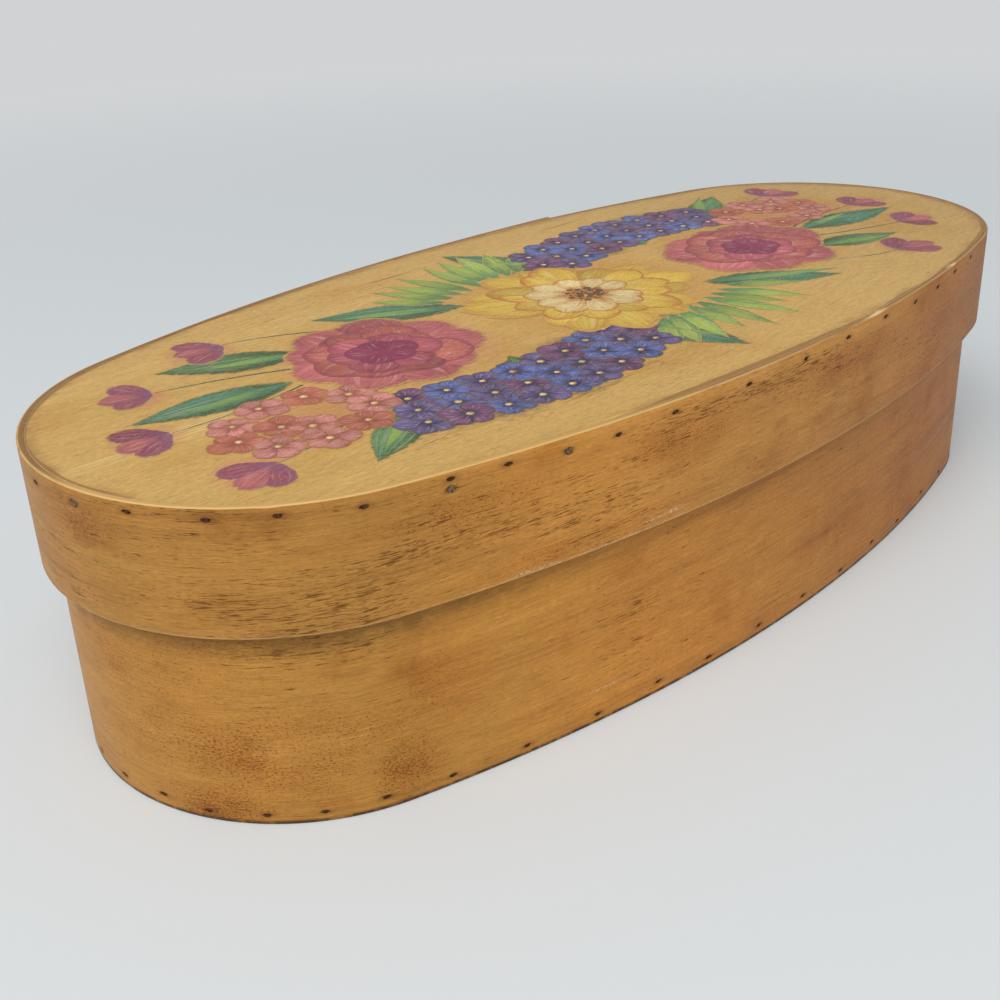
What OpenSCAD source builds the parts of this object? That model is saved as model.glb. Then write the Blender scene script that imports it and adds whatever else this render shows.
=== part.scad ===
// Oval box of thin bent wood with a lift-off lid, as it is put together at the bench.
// Each band is one steamed strip whose ends lap at the back. The bottom and the lid are
// boards let into the bands and nailed through them. The lid slips down over the box
// until its board sits on the top edge of the box's band.

/* [Lid outline] */
// Length of the lid over its band
lid_l = 400; // [340:1:460]
// Width of the lid over its band
lid_w = 180; // [150:1:220]
// How far each long side bows out past a straight line between the round ends
side_bow = 17; // [10:1:30]

/* [Heights] */
// Height of the closed box
box_h = 96; // [80:1:140]
// Height of the lid's band
lid_band_h = 36; // [28:1:50]

/* [Wood] */
// Thickness of both bent bands
band_t = 2; // [1.5:0.1:3]
// Thickness of the lid's board
lid_board_t = 7; // [5:0.5:10]
// Thickness of the bottom board
bottom_board_t = 7; // [5:0.5:10]
// Chamfer that eases the long edges of the bands
edge_ease = 0.4; // [0.2:0.1:0.6]

/* [Fits] */
// Room between the inside of the lid's band and the lap on the box
lid_clearance = 0.3; // [0.3:0.1:1.5]
// Room between each board and its band
board_fit = 0.1; // [0.05:0.05:0.3]
// Thickness of the glue line in the laps
lap_glue = 0.1; // [0.08:0.01:0.15]
// Room round a nail or tack in its hole
nail_fit = 0.05; // [0.03:0.01:0.1]

/* [Laps] */
// The lid nail, counted right from the middle of the back, that the laps end just past
lap_nail = 3; // [2:1:4]
// How far past that nail the laps are cut off
lap_past_nail = 5; // [4:0.5:8]
// How many times flatter the outer end of a band runs than the side that it leaves
lap_flatness = 2; // [1.6:0.1:3]
// Thickness left at the feathered inner end of a band
feather_t = 0.4; // [0.3:0.1:0.8]

/* [Nails] */
// Nails round each end of the bottom
bottom_end_nails = 11; // [7:1:13]
// Nails along each side of the bottom
bottom_side_nails = 12; // [8:1:14]
// Nails round each end of the lid
lid_end_nails = 10; // [7:1:13]
// Nails along each side of the lid
lid_side_nails = 13; // [8:1:14]
// Length of a nail
nail_len = 14; // [10:1:18]
// Diameter of a nail's shank
nail_d = 0.9; // [0.7:0.1:1.2]
// Diameter of a nail's head
nail_head_d = 1.4; // [1.2:0.1:2]
// Thickness of a nail's head
nail_head_t = 0.4; // [0.3:0.1:0.8]
// Depth of the heads below the wood
nail_set = 0.2; // [0.1:0.1:0.4]
// Length of a nail's point
nail_point = 2; // [1:0.5:3]
// How far a hand-driven nail strays along the band from its even place
nail_stray = 1.5; // [0:0.1:2]
// How far a hand-driven nail stands above or below its row
nail_lift = 0.9; // [0:0.1:1.2]
// How far right of their even places the lid's front nails stand, from the left
front_strays = [3, -3, -7, -13, -15, -7, -2, -1, 1, 1.5, -1, -5, -8];

/* [Wire nails] */
// Diameter of a wire nail's head
wire_head_d = 2.2; // [1.8:0.1:2.6]
// Diameter of a wire nail's shank
wire_d = 1.3; // [1:0.1:1.5]
// Distance between the first front nail and the wire nail added under it
wire_below = 2.7; // [2.2:0.1:3.2]

/* [Lap tacks] */
// Tacks down the lap of the box
box_tack_count = 4; // [3:1:6]
// Tacks down the lap of the lid
lid_tack_count = 2; // [2:1:3]
// Distance of the tacks from a lap's cut end
tack_edge = 7; // [5:0.5:10]
// Diameter of a tack's shank
tack_d = 1.2; // [0.8:0.1:1.4]
// Diameter of a tack's head
tack_head_d = 3; // [2:0.1:4]
// Thickness of a tack's head
tack_head_t = 0.4; // [0.3:0.1:0.6]

/* [Hidden] */

// The oval has four centres: one for each round end and one for each long side.
// Every offset of it keeps these centres, so bands and boards nest evenly.
end_r = lid_w / 2 - side_bow;
end_c = lid_l / 2 - end_r;
side_h = (end_c * end_c - side_bow * side_bow) / (2 * side_bow);
side_r = side_h + lid_w / 2;
junction = atan2(side_h, end_c);
side_turn = 90 - junction;
lap_end = side_turn * 2 * lap_nail / lid_side_nails + degrees_along(lap_past_nail, side_r);

// Stretches of one strip meet by running past each other a little way. Each stretch is a
// hair thicker on both faces than the one before it, so that no two faces lie together.
hair = 0.03;
run_past = 1;
side_hair = hair;
lap_hair = 2 * hair;

// A lap stands out by the band under it and two glue lines at its cut end.
lap_rise = band_t + 2 * lap_glue;
box_inset = band_t + side_hair + lap_rise + lap_hair + lid_clearance;
lid_low = box_h - lid_band_h;
box_band_h = box_h - lid_board_t;

// Lid nails that were replaced by wire nails, and the first front nail, which has one
// added under it: their places in the row round the lid.
first_front = 2 * lid_end_nails + lid_side_nails;
replaced = [lid_end_nails + floor(lid_end_nails / 2), first_front + 2];
lid_seed = 7;
bottom_seed = 3;
lift_seed = 5;

curve_fn = 720;
nail_fn = 24;
hole_past = 1;
nail_tip_room = 0.3;
tack_tip_room = 0.1;

wood = "#b07a3c";
board_wood = "#c8a262";
nail_steel = "#3a302a";
bright_steel = "#a8a49c";
tack_steel = "#4a3d33";

function degrees_along(length, r) = length / r * 180 / PI;

// Where the bowed sides of a board end, just past the start of its round ends.
function bow_end(inset) = end_c + (end_r - inset) * cos(junction) + run_past;

// Laps, on the back side, by the inset of their band from the lid's outline.
// The outer end leaves the side at lap_start on a flatter arc that is tangent to it.
function band_in(inset) = side_r - inset - band_t;
function lap_r(inset) = lap_flatness * band_in(inset);
function lap_shift(inset) = lap_r(inset) - band_in(inset);
function lap_angle(inset, r, reach) =
    acos((r * r - lap_shift(inset) * lap_shift(inset) - reach * reach)
         / (2 * lap_shift(inset) * reach));
function lap_start(inset) =
    lap_end - lap_angle(inset, lap_r(inset), band_in(inset) + lap_rise);
function lap_turn(inset) =
    let (reach = band_in(inset) + lap_rise, a = lap_end - lap_start(inset))
    atan2(reach * sin(a), reach * cos(a) + lap_shift(inset));
function lap_centre(inset) =
    [-lap_shift(inset) * sin(lap_start(inset)),
     -side_h - lap_shift(inset) * cos(lap_start(inset))];
function feather_end(inset) =
    lap_start(inset)
    + lap_angle(inset, lap_r(inset) - lap_hair - lap_glue, band_in(inset) + feather_t);

// How far the outer face stands out from the oval at an angle along the back.
function lap_out(inset, a) =
    a < lap_start(inset) || a > lap_end ? side_hair :
    let (b = a - lap_start(inset), e = lap_shift(inset), r = lap_r(inset) + band_t)
    sqrt(r * r - pow(e * sin(b), 2)) - e * cos(b) - (side_r - inset) + lap_hair;

// Nail places round the oval: each is the x and y of a centre, a radius, a direction and
// a lift above the row. The right end comes first, then the left end, the back and the front.
function row_places(inset, end_count, side_count, seed, strays) =
    let (count = 2 * (end_count + side_count),
         stray = rands(-nail_stray, nail_stray, count, seed),
         lift = rands(-nail_lift, nail_lift, count, seed + lift_seed))
    [for (i = [0 : count - 1])
        i < 2 * end_count
            ? let (left = i >= end_count, k = i - (left ? end_count : 0))
              [left ? -end_c : end_c, 0, end_r - inset,
               (left ? 180 : 0) + junction * (2 * (k + 0.5) / end_count - 1)
               + degrees_along(stray[i], end_r), lift[i]]
            : let (j = i - 2 * end_count, front = j >= side_count, k = j - (front ? side_count : 0),
                   off = front && k < len(strays) ? strays[k] : stray[i],
                   turn = side_turn * (2 * (k + 0.5) / side_count - 1)
                          + degrees_along(off, side_r))
              front ? [0, side_h, side_r - inset + side_hair, 270 + turn, lift[i]]
                    : [0, -side_h, side_r - inset + lap_out(inset, -turn), 90 + turn, lift[i]]];

bottom_places = row_places(box_inset, bottom_end_nails, bottom_side_nails, bottom_seed, []);
lid_places = row_places(0, lid_end_nails, lid_side_nails, lid_seed, front_strays);
bottom_nail_z = bottom_board_t / 2;
lid_nail_z = box_h - lid_board_t / 2;

function is_replaced(i) = len([for (r = replaced) if (r == i) r]) > 0;
function lifted(place, lift) = [place[0], place[1], place[2], place[3], lift];
old_lid_places =
    [for (i = [0 : len(lid_places) - 1]) if (!is_replaced(i))
        i == first_front ? lifted(lid_places[i], wire_below / 2) : lid_places[i]];
new_lid_places =
    [for (i = [0 : len(lid_places) - 1]) if (is_replaced(i) || i == first_front)
        i == first_front ? lifted(lid_places[i], -wire_below / 2) : lid_places[i]];

// Tack places: one above the other beside a lap's cut end.
tack_a = lap_end - degrees_along(tack_edge, side_r);
function tack_place(inset) =
    [0, -side_h, side_r - inset + lap_out(inset, tack_a), 90 - tack_a, 0];
function tack_heights(low, high, count) =
    [for (i = [0 : count - 1]) low + (high - low) * (i + 0.5) / count];
box_tack_z = tack_heights(bottom_board_t, box_band_h, box_tack_count);
lid_tack_z = tack_heights(lid_low, box_h - lid_board_t, lid_tack_count);
function tack_len(inset) = lap_out(inset, tack_a) + band_t - tack_tip_room;

// Puts children at a place with +Z pointing straight out of the wood.
module at_place(place, z)
    translate([place[0], place[1], z + place[4]]) rotate([0, 0, place[3]]) translate([place[2], 0, 0])
        rotate([0, 90, 0]) children();

// A strip's cross-section, with its four long edges eased.
module strip_profile(r_in, r_out, z0, z1)
    polygon([[r_in + edge_ease, z0], [r_out - edge_ease, z0], [r_out, z0 + edge_ease],
             [r_out, z1 - edge_ease], [r_out - edge_ease, z1], [r_in + edge_ease, z1],
             [r_in, z1 - edge_ease], [r_in, z0 + edge_ease]]);

// A stretch of strip bent round a centre, between two directions.
module strip(centre, r_out, extra, from, to, z0, z1)
    translate([centre[0], centre[1], 0]) rotate([0, 0, from])
        rotate_extrude(angle = to - from, $fn = curve_fn)
            strip_profile(r_out - band_t - extra, r_out + extra, z0, z1);

// One whole strip bent into the oval, from its feathered inner end to its lapped outer end.
module bent_band(inset, z0, z1) {
    past = degrees_along(run_past, side_r);
    leave = 90 - lap_start(inset);
    strip([end_c, 0], end_r - inset, 0, -junction, junction, z0, z1);
    strip([-end_c, 0], end_r - inset, 0, 180 - junction, 180 + junction, z0, z1);
    strip([0, side_h], side_r - inset, side_hair,
          180 + junction - past, 360 - junction + past, z0, z1);
    strip([0, -side_h], side_r - inset, side_hair, leave, 180 - junction + past, z0, z1);
    strip(lap_centre(inset), lap_r(inset) + band_t, lap_hair,
          leave - lap_turn(inset), leave + degrees_along(run_past, lap_r(inset)), z0, z1);
    intersection() {
        strip([0, -side_h], side_r - inset, side_hair,
              junction - past, 90 - feather_end(inset), z0, z1);
        translate([lap_centre(inset)[0], lap_centre(inset)[1], z0])
            cylinder(r = lap_r(inset) - lap_hair - lap_glue, h = z1 - z0, $fn = 4 * curve_fn);
    }
}

// A board cut to the oval: a round disc at each end and the bowed sides between them.
module oval_board(inset, z0, t)
    translate([0, 0, z0]) {
        for (x = [-end_c, end_c])
            translate([x, 0, 0]) cylinder(r = end_r - inset, h = t, $fn = curve_fn);
        intersection() {
            translate([0, -side_h, 0]) bow_disc(inset, t);
            translate([0, side_h, 0]) bow_disc(inset, t);
            translate([-bow_end(inset), -lid_w / 2, 0]) cube([2 * bow_end(inset), lid_w, t]);
        }
    }

module bow_disc(inset, t) cylinder(r = side_r - inset + side_hair, h = t, $fn = 4 * curve_fn);

// A headed nail or tack that points inwards, with its head's face at set below the wood.
module nail(len, d, head_d, head_t, set, point)
    translate([0, 0, -set]) {
        translate([0, 0, -head_t]) cylinder(d = head_d, h = head_t, $fn = nail_fn);
        translate([0, 0, point - len]) cylinder(d = d, h = len - point - head_t, $fn = nail_fn);
        translate([0, 0, -len]) cylinder(d1 = d / 4, d2 = d, h = point, $fn = nail_fn);
    }

// The hole that such a nail fills, sunk from outside the wood.
module nail_hole(len, d, head_d, head_t, set) {
    translate([0, 0, -set - head_t - nail_fit])
        cylinder(d = head_d + 2 * nail_fit, h = set + head_t + nail_fit + hole_past, $fn = nail_fn);
    translate([0, 0, -set - len - nail_tip_room])
        cylinder(d = d + 2 * nail_fit, h = len + nail_tip_room, $fn = nail_fn);
}

module row_nail() nail(nail_len, nail_d, nail_head_d, nail_head_t, nail_set, nail_point);
module row_nail_hole() nail_hole(nail_len, nail_d, nail_head_d, nail_head_t, nail_set);
module wire_nail() nail(nail_len, wire_d, wire_head_d, nail_head_t, 0, nail_point);
module wire_nail_hole() nail_hole(nail_len, wire_d, wire_head_d, nail_head_t, 0);

module lap_tacks(inset, heights)
    for (z = heights)
        at_place(tack_place(inset), z) {
            translate([0, 0, -tack_head_t]) cylinder(d = tack_head_d, h = tack_head_t, $fn = nail_fn);
            translate([0, 0, -tack_len(inset)])
                cylinder(d = tack_d, h = tack_len(inset) - tack_head_t, $fn = nail_fn);
        }

module lap_tack_holes(inset, heights)
    for (z = heights)
        at_place(tack_place(inset), z)
            nail_hole(tack_len(inset) + tack_tip_room + hole_past, tack_d, tack_head_d, tack_head_t, 0);

module bottom_nail_holes()
    for (place = bottom_places) at_place(place, bottom_nail_z) row_nail_hole();

module lid_nail_holes() {
    for (place = old_lid_places) at_place(place, lid_nail_z) row_nail_hole();
    for (place = new_lid_places) at_place(place, lid_nail_z) wire_nail_hole();
}

module box_band() color(wood) difference() {
    bent_band(box_inset, 0, box_band_h);
    bottom_nail_holes();
    lap_tack_holes(box_inset, box_tack_z);
}

module bottom_board() color(board_wood) difference() {
    oval_board(box_inset + band_t + board_fit, 0, bottom_board_t);
    bottom_nail_holes();
}

module bottom_nails() color(nail_steel)
    for (place = bottom_places) at_place(place, bottom_nail_z) row_nail();

module box_lap_tacks() color(tack_steel) lap_tacks(box_inset, box_tack_z);

module lid_band() color(wood) difference() {
    bent_band(0, lid_low, box_h);
    lid_nail_holes();
    lap_tack_holes(0, lid_tack_z);
}

module lid_board() color(board_wood) difference() {
    oval_board(band_t + board_fit, box_band_h, lid_board_t);
    lid_nail_holes();
}

module lid_nails() color(nail_steel)
    for (place = old_lid_places) at_place(place, lid_nail_z) row_nail();

module lid_wire_nails() color(bright_steel)
    for (place = new_lid_places) at_place(place, lid_nail_z) wire_nail();

module lid_lap_tacks() color(tack_steel) lap_tacks(0, lid_tack_z);

box_band();
bottom_board();
bottom_nails();
box_lap_tacks();
lid_band();
lid_board();
lid_nails();
lid_wire_nails();
lid_lap_tacks();
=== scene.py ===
"""Looks of an oval bentwood box with a painted lid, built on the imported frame.

Lengths are metres, as in Blender. Each band is a flat strip that a node tree bends round
the oval, as the maker bent it round a form, so its wood runs with the bend. Along a band,
run is counted from the left tip by way of the front.
"""
import math

import bmesh
import bpy
import numpy as np
from mathutils import Matrix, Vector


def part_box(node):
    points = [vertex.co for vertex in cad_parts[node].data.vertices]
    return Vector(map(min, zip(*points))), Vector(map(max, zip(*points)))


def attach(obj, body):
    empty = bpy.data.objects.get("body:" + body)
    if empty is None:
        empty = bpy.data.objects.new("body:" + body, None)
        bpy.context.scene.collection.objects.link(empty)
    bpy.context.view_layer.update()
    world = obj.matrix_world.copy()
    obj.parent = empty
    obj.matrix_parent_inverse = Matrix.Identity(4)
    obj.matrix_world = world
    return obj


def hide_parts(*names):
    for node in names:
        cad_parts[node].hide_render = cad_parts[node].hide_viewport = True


MM = 0.001

# Sizes of the solids that the frame does not give, as the part's source has them.
BAND_T = 2.0 * MM
SIDE_BOW = 17.0 * MM
LAP_END_X = 73.07 * MM
LAP_FLATNESS = 2.0
LAP_RISE = 2.2 * MM
LAP_GLUE = 0.1 * MM
FEATHER_T = 0.4 * MM
SEAM = 0.03 * MM
NAIL_HEAD_D = 1.4 * MM
NAIL_SET = 0.2 * MM
WIRE_HEAD_D = 2.2 * MM
TACK_HEAD_D = 3.0 * MM

# Camera, from a fit to the box's outline in the photograph.
CAMERA_PLACE = (-0.32771, -0.29462, 0.22681)
CAMERA_TURN = (64.681, 2.246, -44.89)
CAMERA_LENS = 47.615

# The lid board lies a little below its rim, which leaves room for the paint.
LID_TOP_DROP = 0.22 * MM
PAINT_LAYER = 0.015 * MM
PAINT_SEED = 11
STROKE_COLUMNS = 14

# How far single strokes stray in heading, size and lightness, and how much smaller one may be.
STROKE_TURN = 0.08
STROKE_GROWTH = 0.07
STROKE_LIGHT = 0.12
STROKE_JITTER = 0.08

# Painted stems: points along one, how much it thins, its height for its width, and its place
# in the stroke coordinates.
STEM_POINTS = 14
STEM_TAPER = 0.55
STEM_HEIGHT = 0.05
STEM_UV = (0.6, 0.5)

# Strips: eased edges, steps along the bend, the long and short waves of thin wood, how deep
# they are, rows up each band, and the zones of its section.
BAND_EASE = 0.5 * MM
STRIP_STEP = 2.5 * MM
FORM_STEP = 1.5 * MM
CHIP_STEPS = 13
LONG_WAVE = 61 * MM
SHORT_WAVE = 23 * MM
WAVE_REACH = 60 * MM
LID_WAVE = 0.25 * MM
BOX_WAVE = 0.15 * MM
LID_ROWS = 8
BOX_ROWS = 14
OUTSIDE, EDGE, INSIDE = range(3)

# Nails: sides of a pit, its stretch along the grain, how much smaller one may be, how close
# points are the same, the slice read as a head, and the reach of rust.
PIT_SIDES = 16
PIT_STRETCH = (1.7, 0.85, 1.0)
PIT_JITTER = 0.06
SAME_POINT = 0.01 * MM
HEAD_SLICE = 0.02 * MM
RUST_REACH = (1.6 * MM, 0.62 * MM)

# Boards: stations along the oval, columns across the top, eased edges, and the reach of dirt
# from the seam.
BOARD_STATIONS = 121
BOARD_COLUMNS = 16
LID_TOP_EASE = 0.2 * MM
BOX_FLOOR_EASE = 0.3 * MM
SEAM_DIRT = 8.0 * MM

# Light, and the floor that runs into the background between two distances.
LAMP_PLACE = (-1.65, -1.0, 2.4)
LAMP_AIM = (0, 0, 0.05)
LAMP_SIZE = 2.4
LAMP_POWER = 82
SKY_LIGHT = 0.38
BACKGROUND = 0.66
FLOOR_HALF = 6.0
FLOOR_FADE = (0.3, 1.5)


def tone(red, green, blue):
    """A linear colour with full alpha."""
    return (red, green, blue, 1.0)


BACKGROUND_TONE = tone(0.96, 0.982, 1.0)

# Woods, from dark to light, and what is on them: rubbed wear, with a painted highlight on the lid's
# upper arris, and painted shade with some grime.
LID_TONES = (tone(0.436, 0.177, 0.034), tone(0.642, 0.280, 0.052), tone(0.77, 0.378, 0.079))
BOX_TONES = (tone(0.376, 0.144, 0.027), tone(0.588, 0.248, 0.043), tone(0.705, 0.330, 0.069))
TOP_TONES = (tone(0.460, 0.256, 0.069), tone(0.582, 0.354, 0.103), tone(0.68, 0.445, 0.150))
RIM_TONES = (tone(0.20, 0.092, 0.022), tone(0.28, 0.138, 0.036), tone(0.36, 0.19, 0.055))
BARE_TONES = (tone(0.36, 0.20, 0.085), tone(0.48, 0.30, 0.14), tone(0.60, 0.41, 0.22))
# Rubbed wear on the edges; on the lid's upper arris it is also a painted highlight.
RUBBED_AND_HIGHLIGHT = tone(0.76, 0.52, 0.21)
# Painted shade with some grime: dark under the lid's edge and along the foot of the box, where shade
# falls.
SHADE_AND_GRIME = tone(0.085, 0.040, 0.014)

# Longer than any run, for wear and painted shade that do not fade along a band.
ALL_ROUND = 1.0

# Chips in the lid's upper edge: run, half length and depth.
LID_CHIPS = [(0.280, 6 * MM, 0.5 * MM), (0.345, 4 * MM, 0.45 * MM), (0.062, 3 * MM, 0.25 * MM)]

# Marks in the wood, as the photograph has them: place as (run or x, height or y), reach, and
# then a stain's depth, a tint's colour or how far a margin widens.
LID_MARKS = {
    "stains": [((0.190, 0.085), (0.060, 0.011), 0.4), ((0.110, 0.085), (0.045, 0.008), 0.5),
               ((0.330, 0.074), (0.070, 0.024), 0.5), ((0.150, 0.064), (0.060, 0.006), 0.4),
               ((0.012, 0.088), (0.025, 0.010), 0.5), ((0.270, 0.086), (0.060, 0.012), 0.5)],
    "crowded": [((0.090, 0.068), (0.150, 0.024)), ((0.215, 0.087), (0.090, 0.012))],
    # Tints are painted shade and reflection: greyer and darker near the left tip and in the middle,
    # darker at the far end.
    "tints": [((0.04, 0.078), (0.14, 0.2), tone(0.64, 0.69, 0.82)),
              ((0.230, 0.078), (0.11, 0.2), tone(0.80, 0.83, 1.0)),
              ((0.46, 0.078), (0.24, 0.3), tone(0.52, 0.375, 0.22))],
    "scratches": [((0.180, 0.0630), (0.007, 0.0011)), ((0.172, 0.0627), (0.006, 0.0007)),
                  ((0.130, 0.0612), (0.012, 0.0008)), ((0.155, 0.0606), (0.060, 0.0005))],
}
BOX_MARKS = {
    "stains": [((0.050, 0.023), (0.070, 0.024), 0.62), ((0.034, 0.005), (0.022, 0.014), 1.0),
               ((0.086, 0.012), (0.016, 0.017), 1.0), ((0.096, 0.034), (0.022, 0.022), 0.32),
               ((0.167, 0.038), (0.034, 0.026), 0.22), ((0.030, 0.044), (0.060, 0.018), 0.4),
               ((0.035, 0.055), (0.050, 0.010), 0.5), ((0.300, 0.030), (0.090, 0.036), 0.4)],
    "crowded": [((0.173, 0.031), (0.050, 0.030)), ((0.060, 0.053), (0.060, 0.008))],
    # Tints, all but the small warm patch, are painted shade and reflection: greyer and darker near
    # the left tip and in the middle, darker at the far end.
    "tints": [((0.05, 0.03), (0.15, 0.2), tone(0.81, 0.92, 1.07)),
              ((0.230, 0.03), (0.10, 0.2), tone(0.90, 0.90, 1.0)),
              ((0.098, 0.036), (0.026, 0.026), tone(1.0, 0.93, 0.86)),
              ((0.46, 0.03), (0.27, 0.3), tone(0.67, 0.56, 0.435))],
    "scratches": [((0.152, 0.0112), (0.014, 0.0006))],
}
TOP_STREAK = ((-0.163, -0.001), (0.048, 0.0065))
WIDE_MARGINS = [((-0.022, -0.088), (0.062, 0.03), 2.3 * MM),
                ((-0.197, 0.0), (0.010, 0.04), 0.8 * MM)]
# Painted shade: the lid top darker towards its right end, away from the light.
TOP_SHADE = [((0.19, 0.01), (0.17, 0.2), tone(0.88, 0.875, 0.89))]
TOP_PORES = ((-0.10, -0.066), (0.11, 0.03))
TOP_CRACKS = [((-0.028, 0.070), (0.016, 0.0009)), ((0.066, 0.073), (0.020, 0.0008))]

# Paints.
BARE = (0.0, 0.0, 0.0, 0.0)
YELLOW = tone(0.66, 0.47, 0.06)
ORANGE = tone(0.46, 0.17, 0.045)
BROWN = tone(0.12, 0.055, 0.02)
ROSE = tone(0.52, 0.13, 0.135)
BERRY = tone(0.25, 0.045, 0.085)
VIOLET = tone(0.15, 0.11, 0.25)
BLUE = tone(0.12, 0.16, 0.40)
PLUM = tone(0.20, 0.075, 0.16)
NIGHT = tone(0.035, 0.03, 0.075)
SALMON = tone(0.60, 0.24, 0.20)
CORAL = tone(0.50, 0.15, 0.09)
RUST = tone(0.29, 0.075, 0.055)
LIME = tone(0.33, 0.42, 0.07)
LEAF = tone(0.07, 0.21, 0.09)
TEAL = tone(0.035, 0.19, 0.12)
DEEP_GREEN = tone(0.02, 0.075, 0.04)
CREAM = tone(0.75, 0.62, 0.28)

# Places of a rose and a coral cluster; each has a twin across the middle of the lid.
ROSE_SPOT = (84 * MM, -8 * MM)
CLUSTER_SPOT = (134 * MM, 18 * MM)


class Oval:
    """Four-centre oval: round ends and bowed sides that share their tangents."""

    def __init__(self, half_l, half_w, bow):
        self.end_r = half_w - bow
        self.end_c = half_l - self.end_r
        self.side_h = (self.end_c**2 - bow**2) / (2 * bow)
        self.side_r = self.side_h + half_w
        self.end_turn = math.atan2(self.side_h, self.end_c)
        self.side_turn = math.pi / 2 - self.end_turn

    def half_width(self, x, inset):
        """Half of the oval's width at x, drawn in by inset."""
        reach = abs(x)
        from_end = np.clip(reach - self.end_c, 0, None)
        end = np.sqrt(np.clip((self.end_r - inset) ** 2 - from_end**2, 0, None))
        side = np.sqrt(np.clip((self.side_r - inset) ** 2 - x**2, 0, None)) - self.side_h
        return np.where(reach > self.junction_x(inset), end, side)

    def nearness(self, x, y, inset, reach):
        """1 on the oval drawn in by inset, 0 at reach or more inside it."""
        if math.atan2(abs(y), abs(x) - self.end_c) < self.end_turn:
            inside = self.end_r - inset - math.hypot(abs(x) - self.end_c, y)
        else:
            inside = self.side_r - inset - math.hypot(x, abs(y) + self.side_h)
        return min(1.0, max(0.0, 1 - inside / reach))

    def junction_x(self, inset):
        return self.end_c + (self.end_r - inset) * math.cos(self.end_turn)

    def unroll(self, x, y, inset):
        """Run along the oval and the outward direction, as an angle, at points near it."""
        end_r = self.end_r - inset
        side_r = self.side_r - inset
        quarter = end_r * self.end_turn + side_r * self.side_turn
        across = np.abs(x) - self.end_c
        end_angle = np.arctan2(np.abs(y), across)
        side_angle = np.arctan2(np.abs(x), np.abs(y) + self.side_h)
        on_end = end_angle < self.end_turn
        near = np.where(
            on_end,
            end_r * end_angle,
            end_r * self.end_turn + side_r * (self.side_turn - side_angle),
        )
        out_x = np.where(on_end, np.cos(end_angle), np.sin(side_angle)) * np.sign(x)
        out_y = np.where(on_end, np.sin(end_angle), np.cos(side_angle)) * np.sign(y)
        run = np.where(x < 0, near, 2 * quarter - near) * np.where(y > 0, -1, 1)
        behind = (y > 0) & (x > LAP_END_X)
        return np.where(behind, run + 4 * quarter, run), np.arctan2(out_y, out_x)


class Strip:
    """A band's path along its inner face, from the feathered end to the cut end of the lap."""

    def __init__(self, oval, inset):
        side_in = oval.side_r - inset - BAND_T
        end_in = oval.end_r - inset - BAND_T
        lap_r = LAP_FLATNESS * side_in
        shift = lap_r - side_in
        lap_top = side_in + LAP_RISE
        spread = math.acos((lap_r**2 - shift**2 - lap_top**2) / (2 * lap_top * shift))
        lap_end = math.asin(LAP_END_X / oval.side_r)
        lap_start = lap_end - spread
        lap_turn = math.asin(lap_top * math.sin(spread) / lap_r)
        self.lap_centre = (-shift * math.sin(lap_start), -oval.side_h - shift * math.cos(lap_start))
        self.lap_r = lap_r
        self.side_in = side_in
        self.side_h = oval.side_h
        self.feather_from = self.feather_angle(lap_start, lap_end)
        up = math.pi / 2
        right = oval.end_turn
        left = math.pi - oval.end_turn
        self.arcs = [
            ((0, -oval.side_h), side_in, up - self.feather_from, right),
            ((oval.end_c, 0), end_in, right, -right),
            ((0, oval.side_h), side_in, -right, -left),
            ((-oval.end_c, 0), end_in, -left, left - 2 * math.pi),
            ((0, -oval.side_h), side_in, left, up - lap_start),
            (self.lap_centre, lap_r, up - lap_start, up - lap_start - lap_turn),
        ]
        self.lengths = [radius * (start - end) for _, radius, start, end in self.arcs]
        self.length = sum(self.lengths)
        self.tip = sum(self.lengths[:3]) + self.lengths[3] / 2

    def lap_height(self, angle):
        """Height of the lap's inner face over the band's, at an angle from the back middle."""
        out = np.array([math.sin(angle), math.cos(angle)])
        centre = np.array(self.lap_centre) + (0, self.side_h)
        along = out @ centre
        return along + math.sqrt(along**2 - centre @ centre + self.lap_r**2) - self.side_in

    def feather_angle(self, low, high):
        """Angle at which the feathered end is as thin as its tip, found by halving."""
        for _ in range(40):
            middle = (low + high) / 2
            if self.lap_height(middle) - LAP_GLUE < FEATHER_T:
                low = middle
            else:
                high = middle
        return high

    def thickness(self, run):
        """Thickness of the strip, which thins to the feather under the lap."""
        if run > self.lengths[0]:
            return BAND_T
        under = self.lap_height(self.feather_from + run / self.side_in) - LAP_GLUE
        return min(BAND_T, under)

    def path(self, step):
        """Points along the inner face, about step apart."""
        points = []
        for (cx, cy), radius, start, end in self.arcs:
            count = max(2, round(radius * (start - end) / step))
            for angle in np.linspace(start, end, count, endpoint=False):
                points.append((cx + radius * math.cos(angle), cy + radius * math.sin(angle), 0))
        (cx, cy), radius, _, end = self.arcs[-1]
        points.append((cx + radius * math.cos(end), cy + radius * math.sin(end), 0))
        return points


class NodeTree:
    """Short calls for adding nodes to a tree."""

    def node(self, kind, inputs=None, **settings):
        made = self.tree.nodes.new(kind)
        for key, value in settings.items():
            setattr(made, key, value)
        for key, value in (inputs or {}).items():
            self.feed(made.inputs[key], value)
        return made

    def feed(self, socket, value):
        if isinstance(value, bpy.types.NodeSocket):
            self.tree.links.new(value, socket)
        else:
            socket.default_value = value

    def vector(self, operation, a, b):
        return self.node("ShaderNodeVectorMath", {0: a, 1: b}, operation=operation).outputs[0]

    def split(self, where):
        return self.node("ShaderNodeSeparateXYZ", {0: where}).outputs

    def join(self, x, y, z=0.0):
        return self.node("ShaderNodeCombineXYZ", {0: x, 1: y, 2: z}).outputs[0]


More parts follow.
